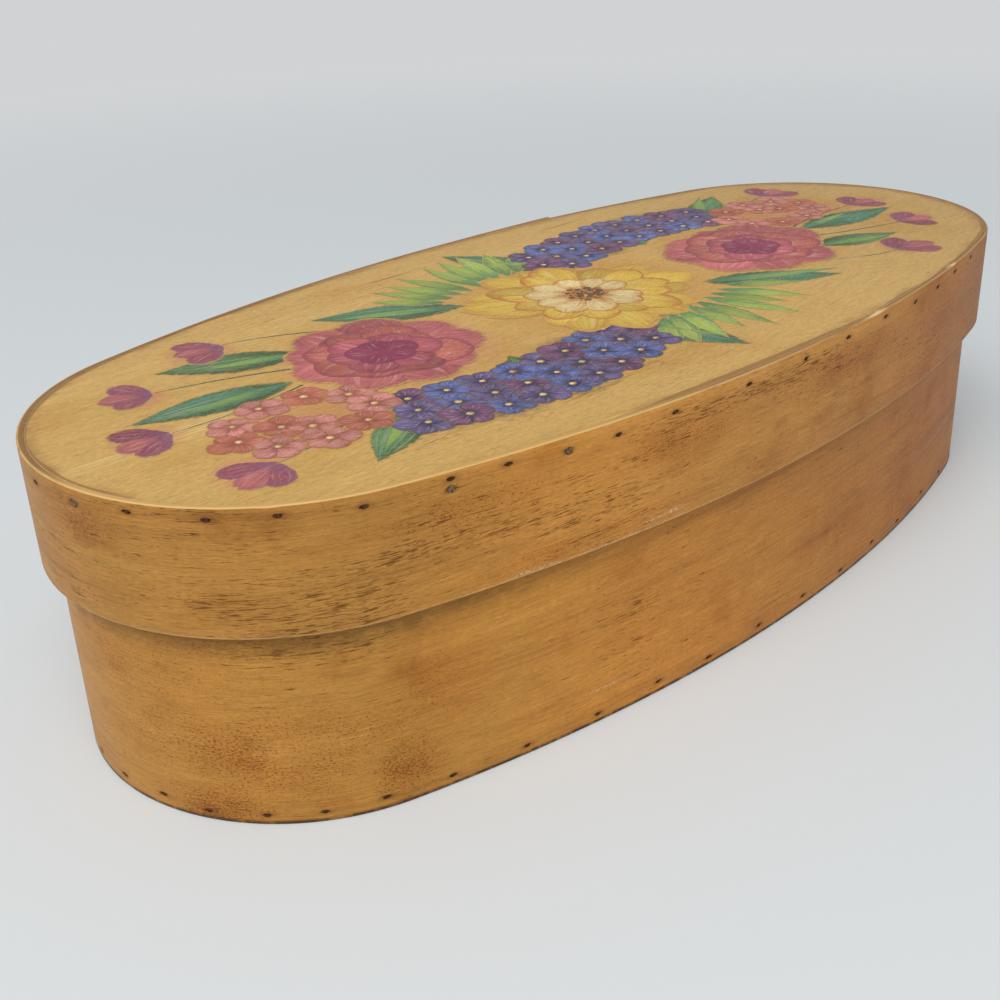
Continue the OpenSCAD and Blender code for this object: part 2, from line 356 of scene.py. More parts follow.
class ShapeTree(NodeTree):
    """A geometry node tree with named inputs."""

    def __init__(self, name, inputs):
        self.tree = bpy.data.node_groups.new(name, "GeometryNodeTree")
        face = self.tree.interface
        face.new_socket(name="Geometry", in_out="OUTPUT", socket_type="NodeSocketGeometry")
        for label, kind in inputs.items():
            face.new_socket(name=label, in_out="INPUT", socket_type="NodeSocket" + kind)
        self.given = self.node("NodeGroupInput").outputs

    def carried(self, name, kind):
        """What the points carry under a name."""
        mark = self.node("GeometryNodeInputNamedAttribute", {"Name": name}, data_type=kind)
        return mark.outputs["Attribute"]

    def shape_of(self, label):
        """Mesh of the object given under a label."""
        return self.node("GeometryNodeObjectInfo", {"Object": self.given[label]}).outputs["Geometry"]

    def scaled(self, vector, by):
        made = self.node("ShaderNodeVectorMath", {0: vector}, operation="SCALE")
        self.feed(made.inputs["Scale"], by)
        return made.outputs[0]

    def end(self, geometry):
        self.node("NodeGroupOutput", {0: geometry})

    def finish_with(self, geometry, finish):
        """Realizes what is left as instances and sets the finish."""
        realized = self.node("GeometryNodeRealizeInstances", {0: geometry}).outputs[0]
        dressed = self.node("GeometryNodeSetMaterial", {"Geometry": realized, "Material": finish})
        self.end(dressed.outputs[0])


class Finish(NodeTree):
    """A material with short calls for the nodes that the finishes share."""

    def __init__(self, name, roughness=0.5):
        self.material = bpy.data.materials.new(name)
        self.material.use_nodes = True
        self.tree = self.material.node_tree
        self.shader = self.tree.nodes["Principled BSDF"]
        self.shader.inputs["Roughness"].default_value = roughness

    def set(self, **sockets):
        for key, value in sockets.items():
            label = key.replace("_", " ").title().replace("Ior", "IOR")
            self.feed(self.shader.inputs[label], value)

    def math(self, operation, first, *others):
        """One sum after another, from the left."""
        for other in others:
            made = self.node("ShaderNodeMath", {0: first, 1: other}, operation=operation)
            first = made.outputs[0]
        return first

    def times(self, *values):
        return self.math("MULTIPLY", *values)

    def plus(self, *values):
        return self.math("ADD", *values)

    def minus(self, a, b):
        return self.math("SUBTRACT", a, b)

    def most(self, *values):
        return self.math("MAXIMUM", *values)

    def from_zero(self, value):
        return self.node("ShaderNodeMath", {0: value}, operation="ABSOLUTE").outputs[0]

    def rise(self, value, low, high):
        """0 at low, 1 at high, smooth between; low may be the larger."""
        inputs = {"Value": value, "From Min": low, "From Max": high}
        made = self.node("ShaderNodeMapRange", inputs, interpolation_type="SMOOTHSTEP")
        return made.outputs[0]

    def scale(self, value, low, high):
        """Takes a value of 0 to 1 to low to high."""
        inputs = {"Value": value, "To Min": low, "To Max": high}
        return self.node("ShaderNodeMapRange", inputs).outputs[0]

    def mix(self, share, a, b, blend="MIX"):
        made = self.node("ShaderNodeMix", data_type="RGBA", blend_type=blend)
        self.feed(made.inputs[0], share)
        self.feed(made.inputs[6], a)
        self.feed(made.inputs[7], b)
        return made.outputs[2]

    def tinted(self, share, a, b):
        """Colour a, multiplied by colour b as far as share goes."""
        return self.mix(share, a, b, "MULTIPLY")

    def dimmed(self, colour, by):
        """A colour times one number."""
        return self.tinted(1.0, colour, self.join(by, by, by))

    def length(self, vector):
        return self.node("ShaderNodeVectorMath", {0: vector}, operation="LENGTH").outputs["Value"]

    def turned(self, where, angle):
        """Coordinates turned about the upright axis."""
        inputs = {"Vector": where, "Rotation": (0, 0, angle)}
        return self.node("ShaderNodeMapping", inputs).outputs[0]

    def stretch(self, where, along, across):
        return self.vector("MULTIPLY", where, (along, across, across))

    def noise(self, where, detail=2.0, rough=0.5):
        inputs = {"Vector": where, "Scale": 1.0, "Detail": detail, "Roughness": rough}
        return self.node("ShaderNodeTexNoise", inputs).outputs[0]

    def uv(self, name):
        return self.node("ShaderNodeUVMap", uv_map=name).outputs[0]

    def object_place(self):
        return self.node("ShaderNodeTexCoord").outputs["Object"]

    def seen(self):
        """1 for the rays that look at the background, 0 for those that light the box."""
        path = self.node("ShaderNodeLightPath").outputs
        return self.most(path["Is Camera Ray"], path["Is Glossy Ray"], path["Is Transmission Ray"])

    def attribute(self, name):
        return self.node("ShaderNodeAttribute", attribute_name=name)

    def bump(self, height, strength, distance):
        inputs = {"Height": height, "Strength": strength, "Distance": distance}
        self.set(normal=self.node("ShaderNodeBump", inputs).outputs[0])

    def blob(self, where, spot, reach):
        """A soft patch: 1 at spot, 0 past reach, both as (along, up)."""
        away = self.vector("SUBTRACT", where, (*spot, 0))
        away = self.vector("MULTIPLY", away, (1 / reach[0], 1 / reach[1], 0))
        return self.rise(self.length(away), 1.0, 0.15)


class Sky(Finish):
    """The world, with the same short calls as a finish."""

    def __init__(self, name):
        self.world = bpy.data.worlds.new(name)
        self.world.use_nodes = True
        self.tree = self.world.node_tree

    def set(self, colour, strength):
        light = self.tree.nodes["Background"]
        self.feed(light.inputs["Color"], colour)
        self.feed(light.inputs["Strength"], strength)


def wandering_grain(f, where, sway):
    """Grain coordinates that sway a little, as grain does in a sawn board."""
    drift = f.noise(f.stretch(where, 5.0, 22.0), detail=1.0)
    shift = f.times(f.minus(drift, 0.5), sway)
    return f.vector("ADD", where, f.join(0.0, shift))


def pores(f, grain, share):
    """Fine dark pores drawn out along the grain, in crowded bands; share is 0 to 1."""
    rings = f.noise(f.stretch(grain, 7.0, 260.0), detail=2.0)
    crowd = f.times(share, f.scale(f.rise(rings, 0.34, 0.66), 0.45, 1.0))
    least = f.scale(crowd, 0.70, 0.49)
    full = f.plus(least, 0.06)
    coarse = f.noise(f.stretch(grain, 150.0, 2000.0), detail=2.0, rough=0.6)
    fine = f.noise(f.stretch(grain, 300.0, 2900.0), detail=2.0, rough=0.6)
    small = f.times(f.rise(fine, least, full), 0.7)
    return f.most(f.rise(coarse, least, full), small)


def wood_tones(f, grain, dark, middle, light, contrast, grit=0.45):
    """Base colour of the wood from broad figure and fine fibre, and the fibre by itself."""
    broad = f.noise(f.stretch(grain, 3.0, 60.0), detail=3.0, rough=0.55)
    lines = f.noise(f.stretch(grain, 14.0, 620.0), detail=3.0, rough=0.6)
    fibre = f.noise(f.stretch(grain, 90.0, 2600.0), detail=2.0, rough=0.6)
    figure = f.plus(f.times(broad, 0.62), f.times(lines, 0.38))
    colour = f.mix(f.rise(figure, 0.5 - contrast, 0.5), dark, middle)
    colour = f.mix(f.rise(figure, 0.5, 0.5 + contrast), colour, light)
    sand = f.noise(f.stretch(grain, 500.0, 1300.0), detail=4.0, rough=0.85)
    shade = f.times(f.scale(fibre, 0.66, 1.34), f.scale(sand, 1 - grit, 1 + grit))
    return f.dimmed(colour, shade), fibre


def nail_rust(f, place, colour):
    """Dark iron stain round the nails, drawn out along the grain."""
    ragged = f.noise(f.stretch(place, 450.0, 1300.0), detail=2.0)
    near = f.vector("MULTIPLY", f.uv("nail"), (1 / RUST_REACH[0], 1 / RUST_REACH[1], 0))
    far = f.plus(f.length(near), f.times(f.minus(ragged, 0.5), 1.3))
    halo = f.times(f.rise(far, 2.5, 0.7), 0.4)
    colour = f.mix(halo, colour, tone(0.15, 0.055, 0.014))
    return f.mix(f.rise(far, 1.05, 0.5), colour, tone(0.058, 0.023, 0.011))


def near_edge(f, height, edge, inward, reach):
    """1 at an edge on a band, 0 past reach from it, or a little way past the edge."""
    below = f.rise(height, edge + inward * reach, edge + inward * 0.45 * reach)
    past = f.rise(height, edge - inward * 6.0 * MM, edge - inward * 0.5 * MM)
    return f.times(below, past)


def band_finish(name, tones, share, marks_at, edges):
    """Varnished outside of a band.

    Share is how many pores it has; marks_at holds its stains, crowded pores, tints (most of
    them painted shade and reflection) and scratches; edges are (height, way in, reach, colour,
    amount, run from the left tip past which it fades), for rubbed wear, a painted highlight
    and painted shade.
    """
    f = Finish(name)
    place = f.uv("grain")
    grain = wandering_grain(f, place, 0.008)
    colour, fibre = wood_tones(f, grain, *tones, 0.24)
    blotch = f.noise(f.stretch(place, 26.0, 34.0), detail=4.0, rough=0.65)
    colour = f.tinted(f.rise(blotch, 0.50, 0.78), colour, tone(0.76, 0.62, 0.50))
    cloud = f.noise(f.stretch(place, 9.0, 14.0), detail=2.0)
    colour = f.tinted(f.rise(cloud, 0.45, 0.75), colour, tone(1.12, 1.1, 1.0))
    mottle = f.scale(f.noise(f.stretch(place, 70.0, 210.0), detail=3.0, rough=0.65), 0.82, 1.18)
    colour = f.dimmed(colour, mottle)
    # Tints, most of them painted shade and reflection along the band.
    for spot, reach, shade in marks_at["tints"]:
        colour = f.tinted(f.blob(place, spot, reach), colour, shade)
    stain = f.times(f.rise(cloud, 0.48, 0.8), 0.25)
    for spot, reach, depth in marks_at["stains"]:
        stain = f.most(stain, f.times(f.blob(place, spot, reach), depth))
    stain = f.times(stain, f.scale(f.rise(blotch, 0.36, 0.60), 0.5, 1.0))
    colour = f.tinted(stain, colour, tone(0.80, 0.65, 0.53))
    speckle = f.noise(f.stretch(place, 1200.0, 2100.0), detail=2.0, rough=0.6)
    sparse = f.scale(stain, 0.64, 0.40)
    specks = f.rise(speckle, sparse, f.plus(sparse, 0.12))
    specks = f.times(specks, f.rise(stain, 0.0, 0.25))
    colour = f.tinted(f.times(specks, 0.95), colour, tone(0.50, 0.34, 0.24))
    crowd = share
    for spot, reach in marks_at["crowded"]:
        crowd = f.plus(crowd, f.times(f.blob(place, spot, reach), 0.42))
    patchy = f.rise(f.noise(f.stretch(place, 22.0, 60.0), detail=2.0), 0.34, 0.62)
    marks = pores(f, grain, f.times(crowd, f.scale(patchy, 0.3, 1.0)))
    colour = f.tinted(f.times(marks, 0.85), colour, tone(0.30, 0.21, 0.15))
    run, height, _ = f.split(place)
    edge_noise = f.noise(f.stretch(place, 160.0, 160.0), detail=3.0, rough=0.7)
    # Edge bands: rubbed wear, with a painted highlight on the lid's upper arris, and painted shade
    # below the lid's edge and along the foot of the box.
    for edge, inward, reach, shade, amount, last in edges:
        wear_and_shade = f.times(near_edge(f, height, edge, inward, reach), f.rise(edge_noise, 0.24, 0.56))
        lasting = f.scale(f.rise(f.from_zero(run), last + 0.08, last), 0.15, 1.0)
        wear_and_shade = f.times(wear_and_shade, lasting)
        colour = f.mix(f.times(wear_and_shade, amount), colour, shade)
    for spot, reach in marks_at["scratches"]:
        nick = f.times(f.blob(place, spot, reach), f.rise(speckle, 0.48, 0.62))
        colour = f.mix(f.times(nick, 0.8), colour, tone(0.72, 0.55, 0.36))
    f.set(base_color=nail_rust(f, place, colour))
    f.set(roughness=f.plus(f.scale(blotch, 0.36, 0.52), f.times(marks, 0.2)))
    f.set(specular_ior_level=0.14, coat_weight=0.025, coat_roughness=0.25)
    f.bump(f.minus(f.times(fibre, 0.25), marks), 0.35, 0.12 * MM)
    return f.material


def rim_finish(name, high, chips):
    """Edges of a band: a rubbed outer arris with a painted highlight, brown in from it, with
    chips down to bare wood.
    """
    f = Finish(name, roughness=0.55)
    place = f.uv("grain")
    colour, fibre = wood_tones(f, place, *RIM_TONES, 0.25)
    run, across, _ = f.split(place)
    clean = f.times(f.rise(run, -0.012, 0.016), f.rise(run, 0.21, 0.13))
    colour = f.mix(f.times(clean, 0.92), colour, tone(0.60, 0.36, 0.10))
    ragged = f.noise(f.stretch(place, 90.0, 900.0), detail=3.0, rough=0.7)
    # Painted highlight with rubbed wear on the outer arris, stronger towards the front-left.
    outer = f.times(f.rise(across, high + 0.3 * MM, high), f.rise(ragged, 0.2, 0.5))
    outer = f.times(outer, f.scale(f.rise(run, 0.17, 0.26), 0.7, 0.35))
    colour = f.mix(outer, colour, tone(0.72, 0.47, 0.18))
    seam = f.rise(across, high + 1.65 * MM, high + 1.95 * MM)
    seam = f.times(seam, f.scale(clean, 0.45, 0.06))
    colour = f.mix(seam, colour, tone(0.12, 0.058, 0.018))
    for spot, reach, _ in chips:
        bare = f.blob(place, (spot, high + 0.5 * MM), (1.6 * reach, 2.6 * MM))
        bare = f.times(bare, f.rise(ragged, 0.4, 0.55))
        colour = f.mix(bare, colour, tone(0.72, 0.52, 0.27))
    f.set(base_color=colour)
    f.set(specular_ior_level=0.3)
    f.bump(fibre, 0.3, 0.1 * MM)
    return f.material


def raw_finish(name, bent):
    """Bare wood inside the box, paler and without varnish, on a bent strip or a board."""
    f = Finish(name, roughness=0.72)
    place = f.uv("grain") if bent else f.object_place()
    grain = wandering_grain(f, place, 0.008)
    colour, fibre = wood_tones(f, grain, *BARE_TONES, 0.17)
    marks = pores(f, grain, 0.3)
    colour = f.mix(f.times(marks, 0.6), colour, tone(0.14, 0.07, 0.03))
    age = f.noise(f.stretch(place, 18.0, 18.0), detail=4.0, rough=0.65)
    colour = f.tinted(f.rise(age, 0.5, 0.75), colour, tone(0.78, 0.70, 0.60))
    f.set(base_color=colour)
    f.set(specular_ior_level=0.25)
    f.bump(f.minus(fibre, marks), 0.3, 0.12 * MM)
    return f.material


def lid_top_wood(f, place):
    """Colour, relief and gloss pattern of the varnished lid board, shared with its paint."""
    grain = wandering_grain(f, place, 0.012)
    colour, fibre = wood_tones(f, grain, *TOP_TONES, 0.34, grit=0.6)
    cloud = f.noise(f.stretch(place, 12.0, 20.0), detail=3.0, rough=0.6)
    colour = f.tinted(f.rise(cloud, 0.52, 0.80), colour, tone(0.86, 0.74, 0.58))
    # Painted shade towards the right end of the top.
    for spot, reach, shade in TOP_SHADE:
        colour = f.tinted(f.blob(place, spot, reach), colour, shade)
    streak_lines = f.noise(f.stretch(grain, 14.0, 900.0), detail=2.0)
    streak = f.times(f.blob(place, *TOP_STREAK), f.rise(streak_lines, 0.34, 0.6))
    colour = f.mix(f.times(streak, 0.8), colour, tone(0.82, 0.60, 0.26))
    patchy = f.rise(f.noise(f.stretch(place, 16.0, 40.0), detail=2.0), 0.40, 0.66)
    crowd = f.plus(0.25, f.times(f.blob(place, *TOP_PORES), 0.6))
    marks = pores(f, grain, f.times(crowd, f.scale(patchy, 0.2, 1.0)))
    colour = f.tinted(f.times(marks, 0.75), colour, tone(0.36, 0.26, 0.18))
    for spot, reach in TOP_CRACKS:
        crack = f.times(f.blob(place, spot, reach), 0.7)
        colour = f.mix(crack, colour, tone(0.16, 0.08, 0.02))
    return colour, fibre, marks, cloud


def lid_top_finish():
    """Varnished top of the lid board, with dirt in the seam round most of its edge."""
    f = Finish("honey_lid_wood")
    place = f.object_place()
    colour, fibre, marks, cloud = lid_top_wood(f, place)
    x, y, _ = f.split(place)
    clean = f.times(f.rise(x, -0.07, -0.115), f.rise(x, -0.1975, -0.190))
    clean = f.times(clean, f.rise(y, -0.01, -0.03))
    dirty = f.minus(1.0, clean)
    ragged = f.noise(f.stretch(place, 60.0, 90.0), detail=4.0, rough=0.7)
    depth = f.scale(f.attribute("seam").outputs["Fac"], SEAM_DIRT, 0.0)
    dirt = f.times(f.rise(depth, 5.0 * MM, 0.5 * MM), f.rise(ragged, 0.36, 0.66))
    dirt = f.times(dirt, f.scale(dirty, 0.15, 0.55))
    colour = f.mix(dirt, colour, tone(0.27, 0.125, 0.03))
    wander = f.noise(f.stretch(place, 24.0, 24.0), detail=3.0)
    width = f.times(f.rise(wander, 0.40, 0.75), 1.3 * MM)
    for spot, reach, extra in WIDE_MARGINS:
        width = f.plus(width, f.times(f.blob(place, spot, reach), extra))
    margin = f.rise(f.minus(depth, width), 0.45 * MM, 0.0)
    margin = f.times(margin, f.scale(dirty, 0.0, 0.85))
    colour = f.mix(margin, colour, tone(0.29, 0.14, 0.036))
    f.set(base_color=colour)
    f.set(roughness=f.scale(cloud, 0.38, 0.52))
    f.set(specular_ior_level=0.12, coat_weight=0.03, coat_roughness=0.22)
    f.bump(f.minus(f.times(fibre, 0.3), marks), 0.3, 0.1 * MM)
    return f.material


def paint_finish():
    """Thin dry paint, hatched along each stroke, with the grain and what is under it showing."""
    f = Finish("brushed_paint")
    place = f.object_place()
    wood, fibre, _, _ = lid_top_wood(f, place)
    under = f.attribute("under")
    stroke = f.uv("stroke")
    along, across, _ = f.split(stroke)
    lean = f.scale(across, -1.0, 1.0)
    tip = f.scale(along, -1.0, 1.0)
    tip = f.times(tip, tip)
    side = f.times(lean, lean)
    rim = f.plus(tip, f.times(f.minus(1.0, tip), side))
    hairs = f.vector("ADD", f.stretch(stroke, 2.0, 15.0), f.stretch(place, 45.0, 45.0))
    bristle = f.noise(hairs, detail=3.0, rough=0.7)
    slant = f.turned(place, 0.7)
    pencil = f.noise(f.stretch(slant, 150.0, 1500.0), detail=3.0, rough=0.7)
    grit = f.noise(f.stretch(place, 700.0, 1900.0), detail=4.0, rough=0.85)
    hatch = f.minus(f.plus(bristle, pencil), 1.0)
    tint = f.attribute("tint")
    shade = f.attribute("shade")
    dusk = f.plus(f.times(lean, 0.3), f.times(rim, 0.75))
    dusk = f.times(dusk, shade.outputs["Alpha"])
    dusk = f.plus(dusk, f.times(f.rise(along, 0.7, 0.0), 0.7))
    dusk = f.plus(dusk, f.times(hatch, 2.0))
    colour = f.mix(f.rise(dusk, 0.05, 0.95), tint.outputs["Color"], shade.outputs["Color"])
    glint = f.times(f.rise(bristle, 0.50, 0.32), f.rise(rim, 0.85, 0.1))
    glint = f.times(glint, f.rise(along, 0.25, 0.6))
    colour = f.mix(f.times(glint, 0.30), colour, tone(0.84, 0.76, 0.70))
    cross = f.turned(place, -0.35)
    drawn = f.noise(f.stretch(cross, 130.0, 1500.0), detail=3.0, rough=0.7)
    colour = f.mix(f.times(f.rise(drawn, 0.56, 0.72), 0.22), colour, tone(0.80, 0.66, 0.52))
    colour = f.mix(f.times(f.rise(drawn, 0.44, 0.30), 0.40), colour, shade.outputs["Color"])
    dry = f.noise(f.stretch(place, 80.0, 1500.0), detail=3.0, rough=0.7)
    cover = f.rise(f.plus(dry, f.times(hatch, 0.3)), 0.28, 0.46)
    ragged = f.noise(f.stretch(place, 420.0, 900.0), detail=3.0, rough=0.75)
    rim = f.plus(rim, f.times(f.minus(ragged, 0.5), 0.8))
    body = tint.outputs["Alpha"]
    edge = f.rise(rim, 1.0, f.scale(body, 0.0, 0.62))
    held = under.outputs["Alpha"]
    frayed = f.times(f.rise(rim, 0.75, 1.0), f.minus(1.0, held))
    held = f.times(held, f.scale(frayed, 1.0, -1.0))
    ground = f.mix(f.most(held, 0.0), wood, under.outputs["Color"])
    cover = f.times(f.scale(cover, 0.45, 1.0), edge)
    cover = f.times(cover, f.scale(f.rise(grit, 0.36, 0.54), 0.45, 1.0))
    f.set(base_color=f.mix(f.times(cover, body), ground, colour))
    f.set(roughness=f.scale(bristle, 0.45, 0.62))
    f.set(specular_ior_level=0.11, coat_weight=0.02, coat_roughness=0.3)
    f.bump(f.plus(f.times(fibre, 0.5), bristle), 0.2, 0.08 * MM)
    return f.material


def iron_finish(name, dark, rust, roughness, metallic, gloss):
    """Nail metal: mottled, with rust or dull scale."""
    f = Finish(name, roughness)
    mottle = f.noise(f.stretch(f.object_place(), 1400.0, 1400.0), detail=3.0, rough=0.65)
    f.set(base_color=f.mix(f.rise(mottle, 0.4, 0.66), dark, rust))
    f.set(roughness=f.scale(mottle, roughness - 0.1, roughness + 0.1))
    f.set(metallic=metallic, specular_ior_level=gloss)
    f.bump(mottle, 0.4, 0.06 * MM)
    return f.material


def floor_finish():
    """Pale floor that looks as pale far from the lamp, and runs into the background."""
    f = Finish("pale_floor", roughness=0.8)
    place = f.object_place()
    patch = f.noise(f.stretch(place, 0.8, 0.8), detail=1.0)
    ground = f.mix(patch, tone(0.685, 0.725, 0.740), tone(0.715, 0.75, 0.765))
    gone = f.times(f.rise(f.length(place), *FLOOR_FADE), f.seen())
    f.set(base_color=f.mix(gone, ground, tone(0.0, 0.0, 0.0)))
    f.set(emission_color=BACKGROUND_TONE, emission_strength=f.times(gone, BACKGROUND))
    f.set(specular_ior_level=f.scale(gone, 0.3, 0.0))
    return f.material


def mesh_piece(name, points, faces, edges=()):
    """A new object whose place is in its mesh."""
    mesh = bpy.data.meshes.new(name)
    mesh.from_pydata([tuple(p) for p in points], edges, faces)
    piece = bpy.data.objects.new(name, mesh)
    bpy.context.scene.collection.objects.link(piece)
    return piece


def open_line(name, points):
    """A line of edges through the points."""
    return mesh_piece(name, points, [], [(i, i + 1) for i in range(len(points) - 1)])


def ring_faces(rings, around):
    """Faces between closed rings of points that follow one another."""
    faces = []
    for ring in range(rings - 1):
        for i in range(around):
            j = (i + 1) % around
            here = ring * around
            there = here + around
            faces.append((here + i, there + i, there + j, here + j))
    return faces


def places_of(mesh):
    """The vertices of a mesh as an array."""
    place = np.empty(len(mesh.vertices) * 3)
    mesh.vertices.foreach_get("co", place)
    return place.reshape(-1, 3)


def outward_faces(piece):
    """Turns the faces of a closed mesh outwards."""
    work = bmesh.new()
    work.from_mesh(piece.data)
    bmesh.ops.recalc_face_normals(work, faces=work.faces)
    work.to_mesh(piece.data)
    work.free()


def smooth_to(piece, angle):
    """Smooth shading with edges sharper than angle, in degrees, kept crisp."""
    piece.data.shade_smooth()
    piece.data.set_sharp_from_angle(angle=math.radians(angle))


def remove(*pieces):
    for piece in pieces:
        bpy.data.objects.remove(piece, do_unlink=True)


def bake_modifiers(piece):
    """Makes what the modifiers give the piece's own mesh, and takes the modifiers off."""
    graph = bpy.context.evaluated_depsgraph_get()
    made = bpy.data.meshes.new_from_object(
        piece.evaluated_get(graph), preserve_all_data_layers=True, depsgraph=graph
    )
    piece.modifiers.clear()
    piece.data = made


def run_tree(piece, tree, values):
    """Runs a geometry node tree on the piece and keeps the result as its mesh."""
    step = piece.modifiers.new(tree.name, "NODES")
    step.node_group = tree
    for item in tree.interface.items_tree:
        if item.in_out == "INPUT" and item.name in values:
            step[item.identifier] = values[item.name]
    bake_modifiers(piece)


def bending_tree():
    """Bends a flat strip round a form: x runs along the form, y stands off it, z is height."""
    t = ShapeTree(
        "bend_round_form",
        {"Geometry": "Geometry", "Form": "Object", "Outside": "Material", "Edges": "Material",
         "Inside": "Material"},
    )
    path = t.node("GeometryNodeMeshToCurve", {"Mesh": t.shape_of("Form")}).outputs[0]
    flat = t.split(t.node("GeometryNodeInputPosition").outputs[0])
    at = t.node("GeometryNodeSampleCurve", mode="LENGTH", use_all_curves=True)
    t.feed(at.inputs["Curves"], path)
    t.feed(at.inputs["Length"], flat["X"])
    out = t.vector("CROSS_PRODUCT", (0, 0, 1), at.outputs["Tangent"])
    foot = t.vector("ADD", at.outputs["Position"], t.join(0.0, 0.0, flat["Z"]))
    spot = t.vector("ADD", foot, t.scaled(out, flat["Y"]))
    bent = t.node(
        "GeometryNodeSetPosition", {"Geometry": t.given["Geometry"], "Position": spot}
    ).outputs[0]
    bent = t.node("GeometryNodeRealizeInstances", {0: bent}).outputs[0]
    for zone, label in ((OUTSIDE, "Outside"), (EDGE, "Edges"), (INSIDE, "Inside")):
        chosen = t.node("FunctionNodeCompare", data_type="INT", operation="EQUAL")
        t.feed(chosen.inputs[2], t.carried("zone", "INT"))
        t.feed(chosen.inputs[3], zone)
        bent = t.node(
            "GeometryNodeSetMaterial",
            {"Geometry": bent, "Selection": chosen.outputs[0], "Material": t.given[label]},
        ).outputs[0]
    t.end(bent)
    return t.tree


def placing_tree():
    """Sets one shape on points that carry their turn and size."""
    t = ShapeTree(
        "shape_on_points",
        {"Geometry": "Geometry", "Shape": "Object", "Size jitter": "Float", "Seed": "Int",
         "Finish": "Material"},
    )
    turn = t.carried("turn", "FLOAT_VECTOR")
    turned = t.node("FunctionNodeEulerToRotation", {0: turn}).outputs[0]
    least = t.node("ShaderNodeMath", {0: 1.0, 1: t.given["Size jitter"]}, operation="SUBTRACT")
    draw = t.node("FunctionNodeRandomValue", {"Seed": t.given["Seed"]}, data_type="FLOAT")
    t.feed(draw.inputs[2], least.outputs[0])
    t.feed(draw.inputs[3], 1.0)
    grown = t.scaled(t.carried("size", "FLOAT_VECTOR"), draw.outputs[1])
    placed = t.node(
        "GeometryNodeInstanceOnPoints",
        {"Points": t.given["Geometry"], "Instance": t.shape_of("Shape"), "Rotation": turned,
         "Scale": grown},
    ).outputs[0]
    t.finish_with(placed, t.given["Finish"])
    return t.tree


def stem_tree():
    """Sweeps a low painted line along polylines that carry their own half-width."""
    t = ShapeTree(
        "painted_line",
        {"Geometry": "Geometry", "Height": "Float", "Finish": "Material"},
    )
    line = t.node("GeometryNodeMeshToCurve", {"Mesh": t.given["Geometry"]}).outputs[0]
    line = t.node("GeometryNodeSetCurveNormal", {"Curve": line}, mode="Z_UP").outputs[0]
    ring = t.node("GeometryNodeCurvePrimitiveCircle", {"Resolution": 6, "Radius": 1.0}).outputs[0]
    flat = t.join(1.0, t.given["Height"], 1.0)
    ring = t.node("GeometryNodeTransform", {"Geometry": ring, "Scale": flat}).outputs[0]
    swept = t.node("GeometryNodeCurveToMesh", {"Curve": line, "Profile Curve": ring})
    t.feed(swept.inputs["Fill Caps"], True)
    t.feed(swept.inputs["Scale"], t.carried("half_width", "FLOAT"))
    t.finish_with(swept.outputs[0], t.given["Finish"])
    return t.tree


def band_profile(low, high, ease, rows):
    """Section of a strip as (face, drawn in, height, up the wood, zone), round and closed.

    Face 1 is the outer side and 0 the inner.
    """

    def eased(edge, way, angle):
        turn = math.radians(angle)
        return ease * (1 - math.cos(turn)), edge - way * ease * (1 - math.sin(turn))

    heights = np.linspace(low + ease, high - ease, rows + 1)[1:-1]
    outer = [(*eased(low, -1, angle), OUTSIDE) for angle in (90, 60, 30, 0)]
    outer += [(0.0, z, OUTSIDE) for z in heights]
    outer += [(*eased(high, 1, angle), OUTSIDE if angle < 60 else EDGE) for angle in (0, 30, 60, 90)]
    inner = [(*eased(high, 1, angle), INSIDE if angle < 60 else EDGE) for angle in (60, 30, 0)]
    inner += [(0.0, z, INSIDE) for z in heights[::-1]]
    inner += [(*eased(low, -1, angle), INSIDE if angle < 60 else EDGE) for angle in (0, 30, 60)]
    section = [(1, drawn, z, z, zone) for drawn, z, zone in outer]
    section += [(0, drawn, z, high + BAND_T + (high - z), zone) for drawn, z, zone in inner]
    return section


def gentle_wave(run, height, free_edge, amount):
    """How far the thin wood stands in from its true line: most at its free edge."""
    swell = math.sin(run / LONG_WAVE + 0.7) + 0.6 * math.sin(run / SHORT_WAVE + 2.0)
    reach = max(0.0, 1 - abs(height - free_edge) / WAVE_REACH)
    return amount * reach**2 * (0.5 + swell / 3.2)


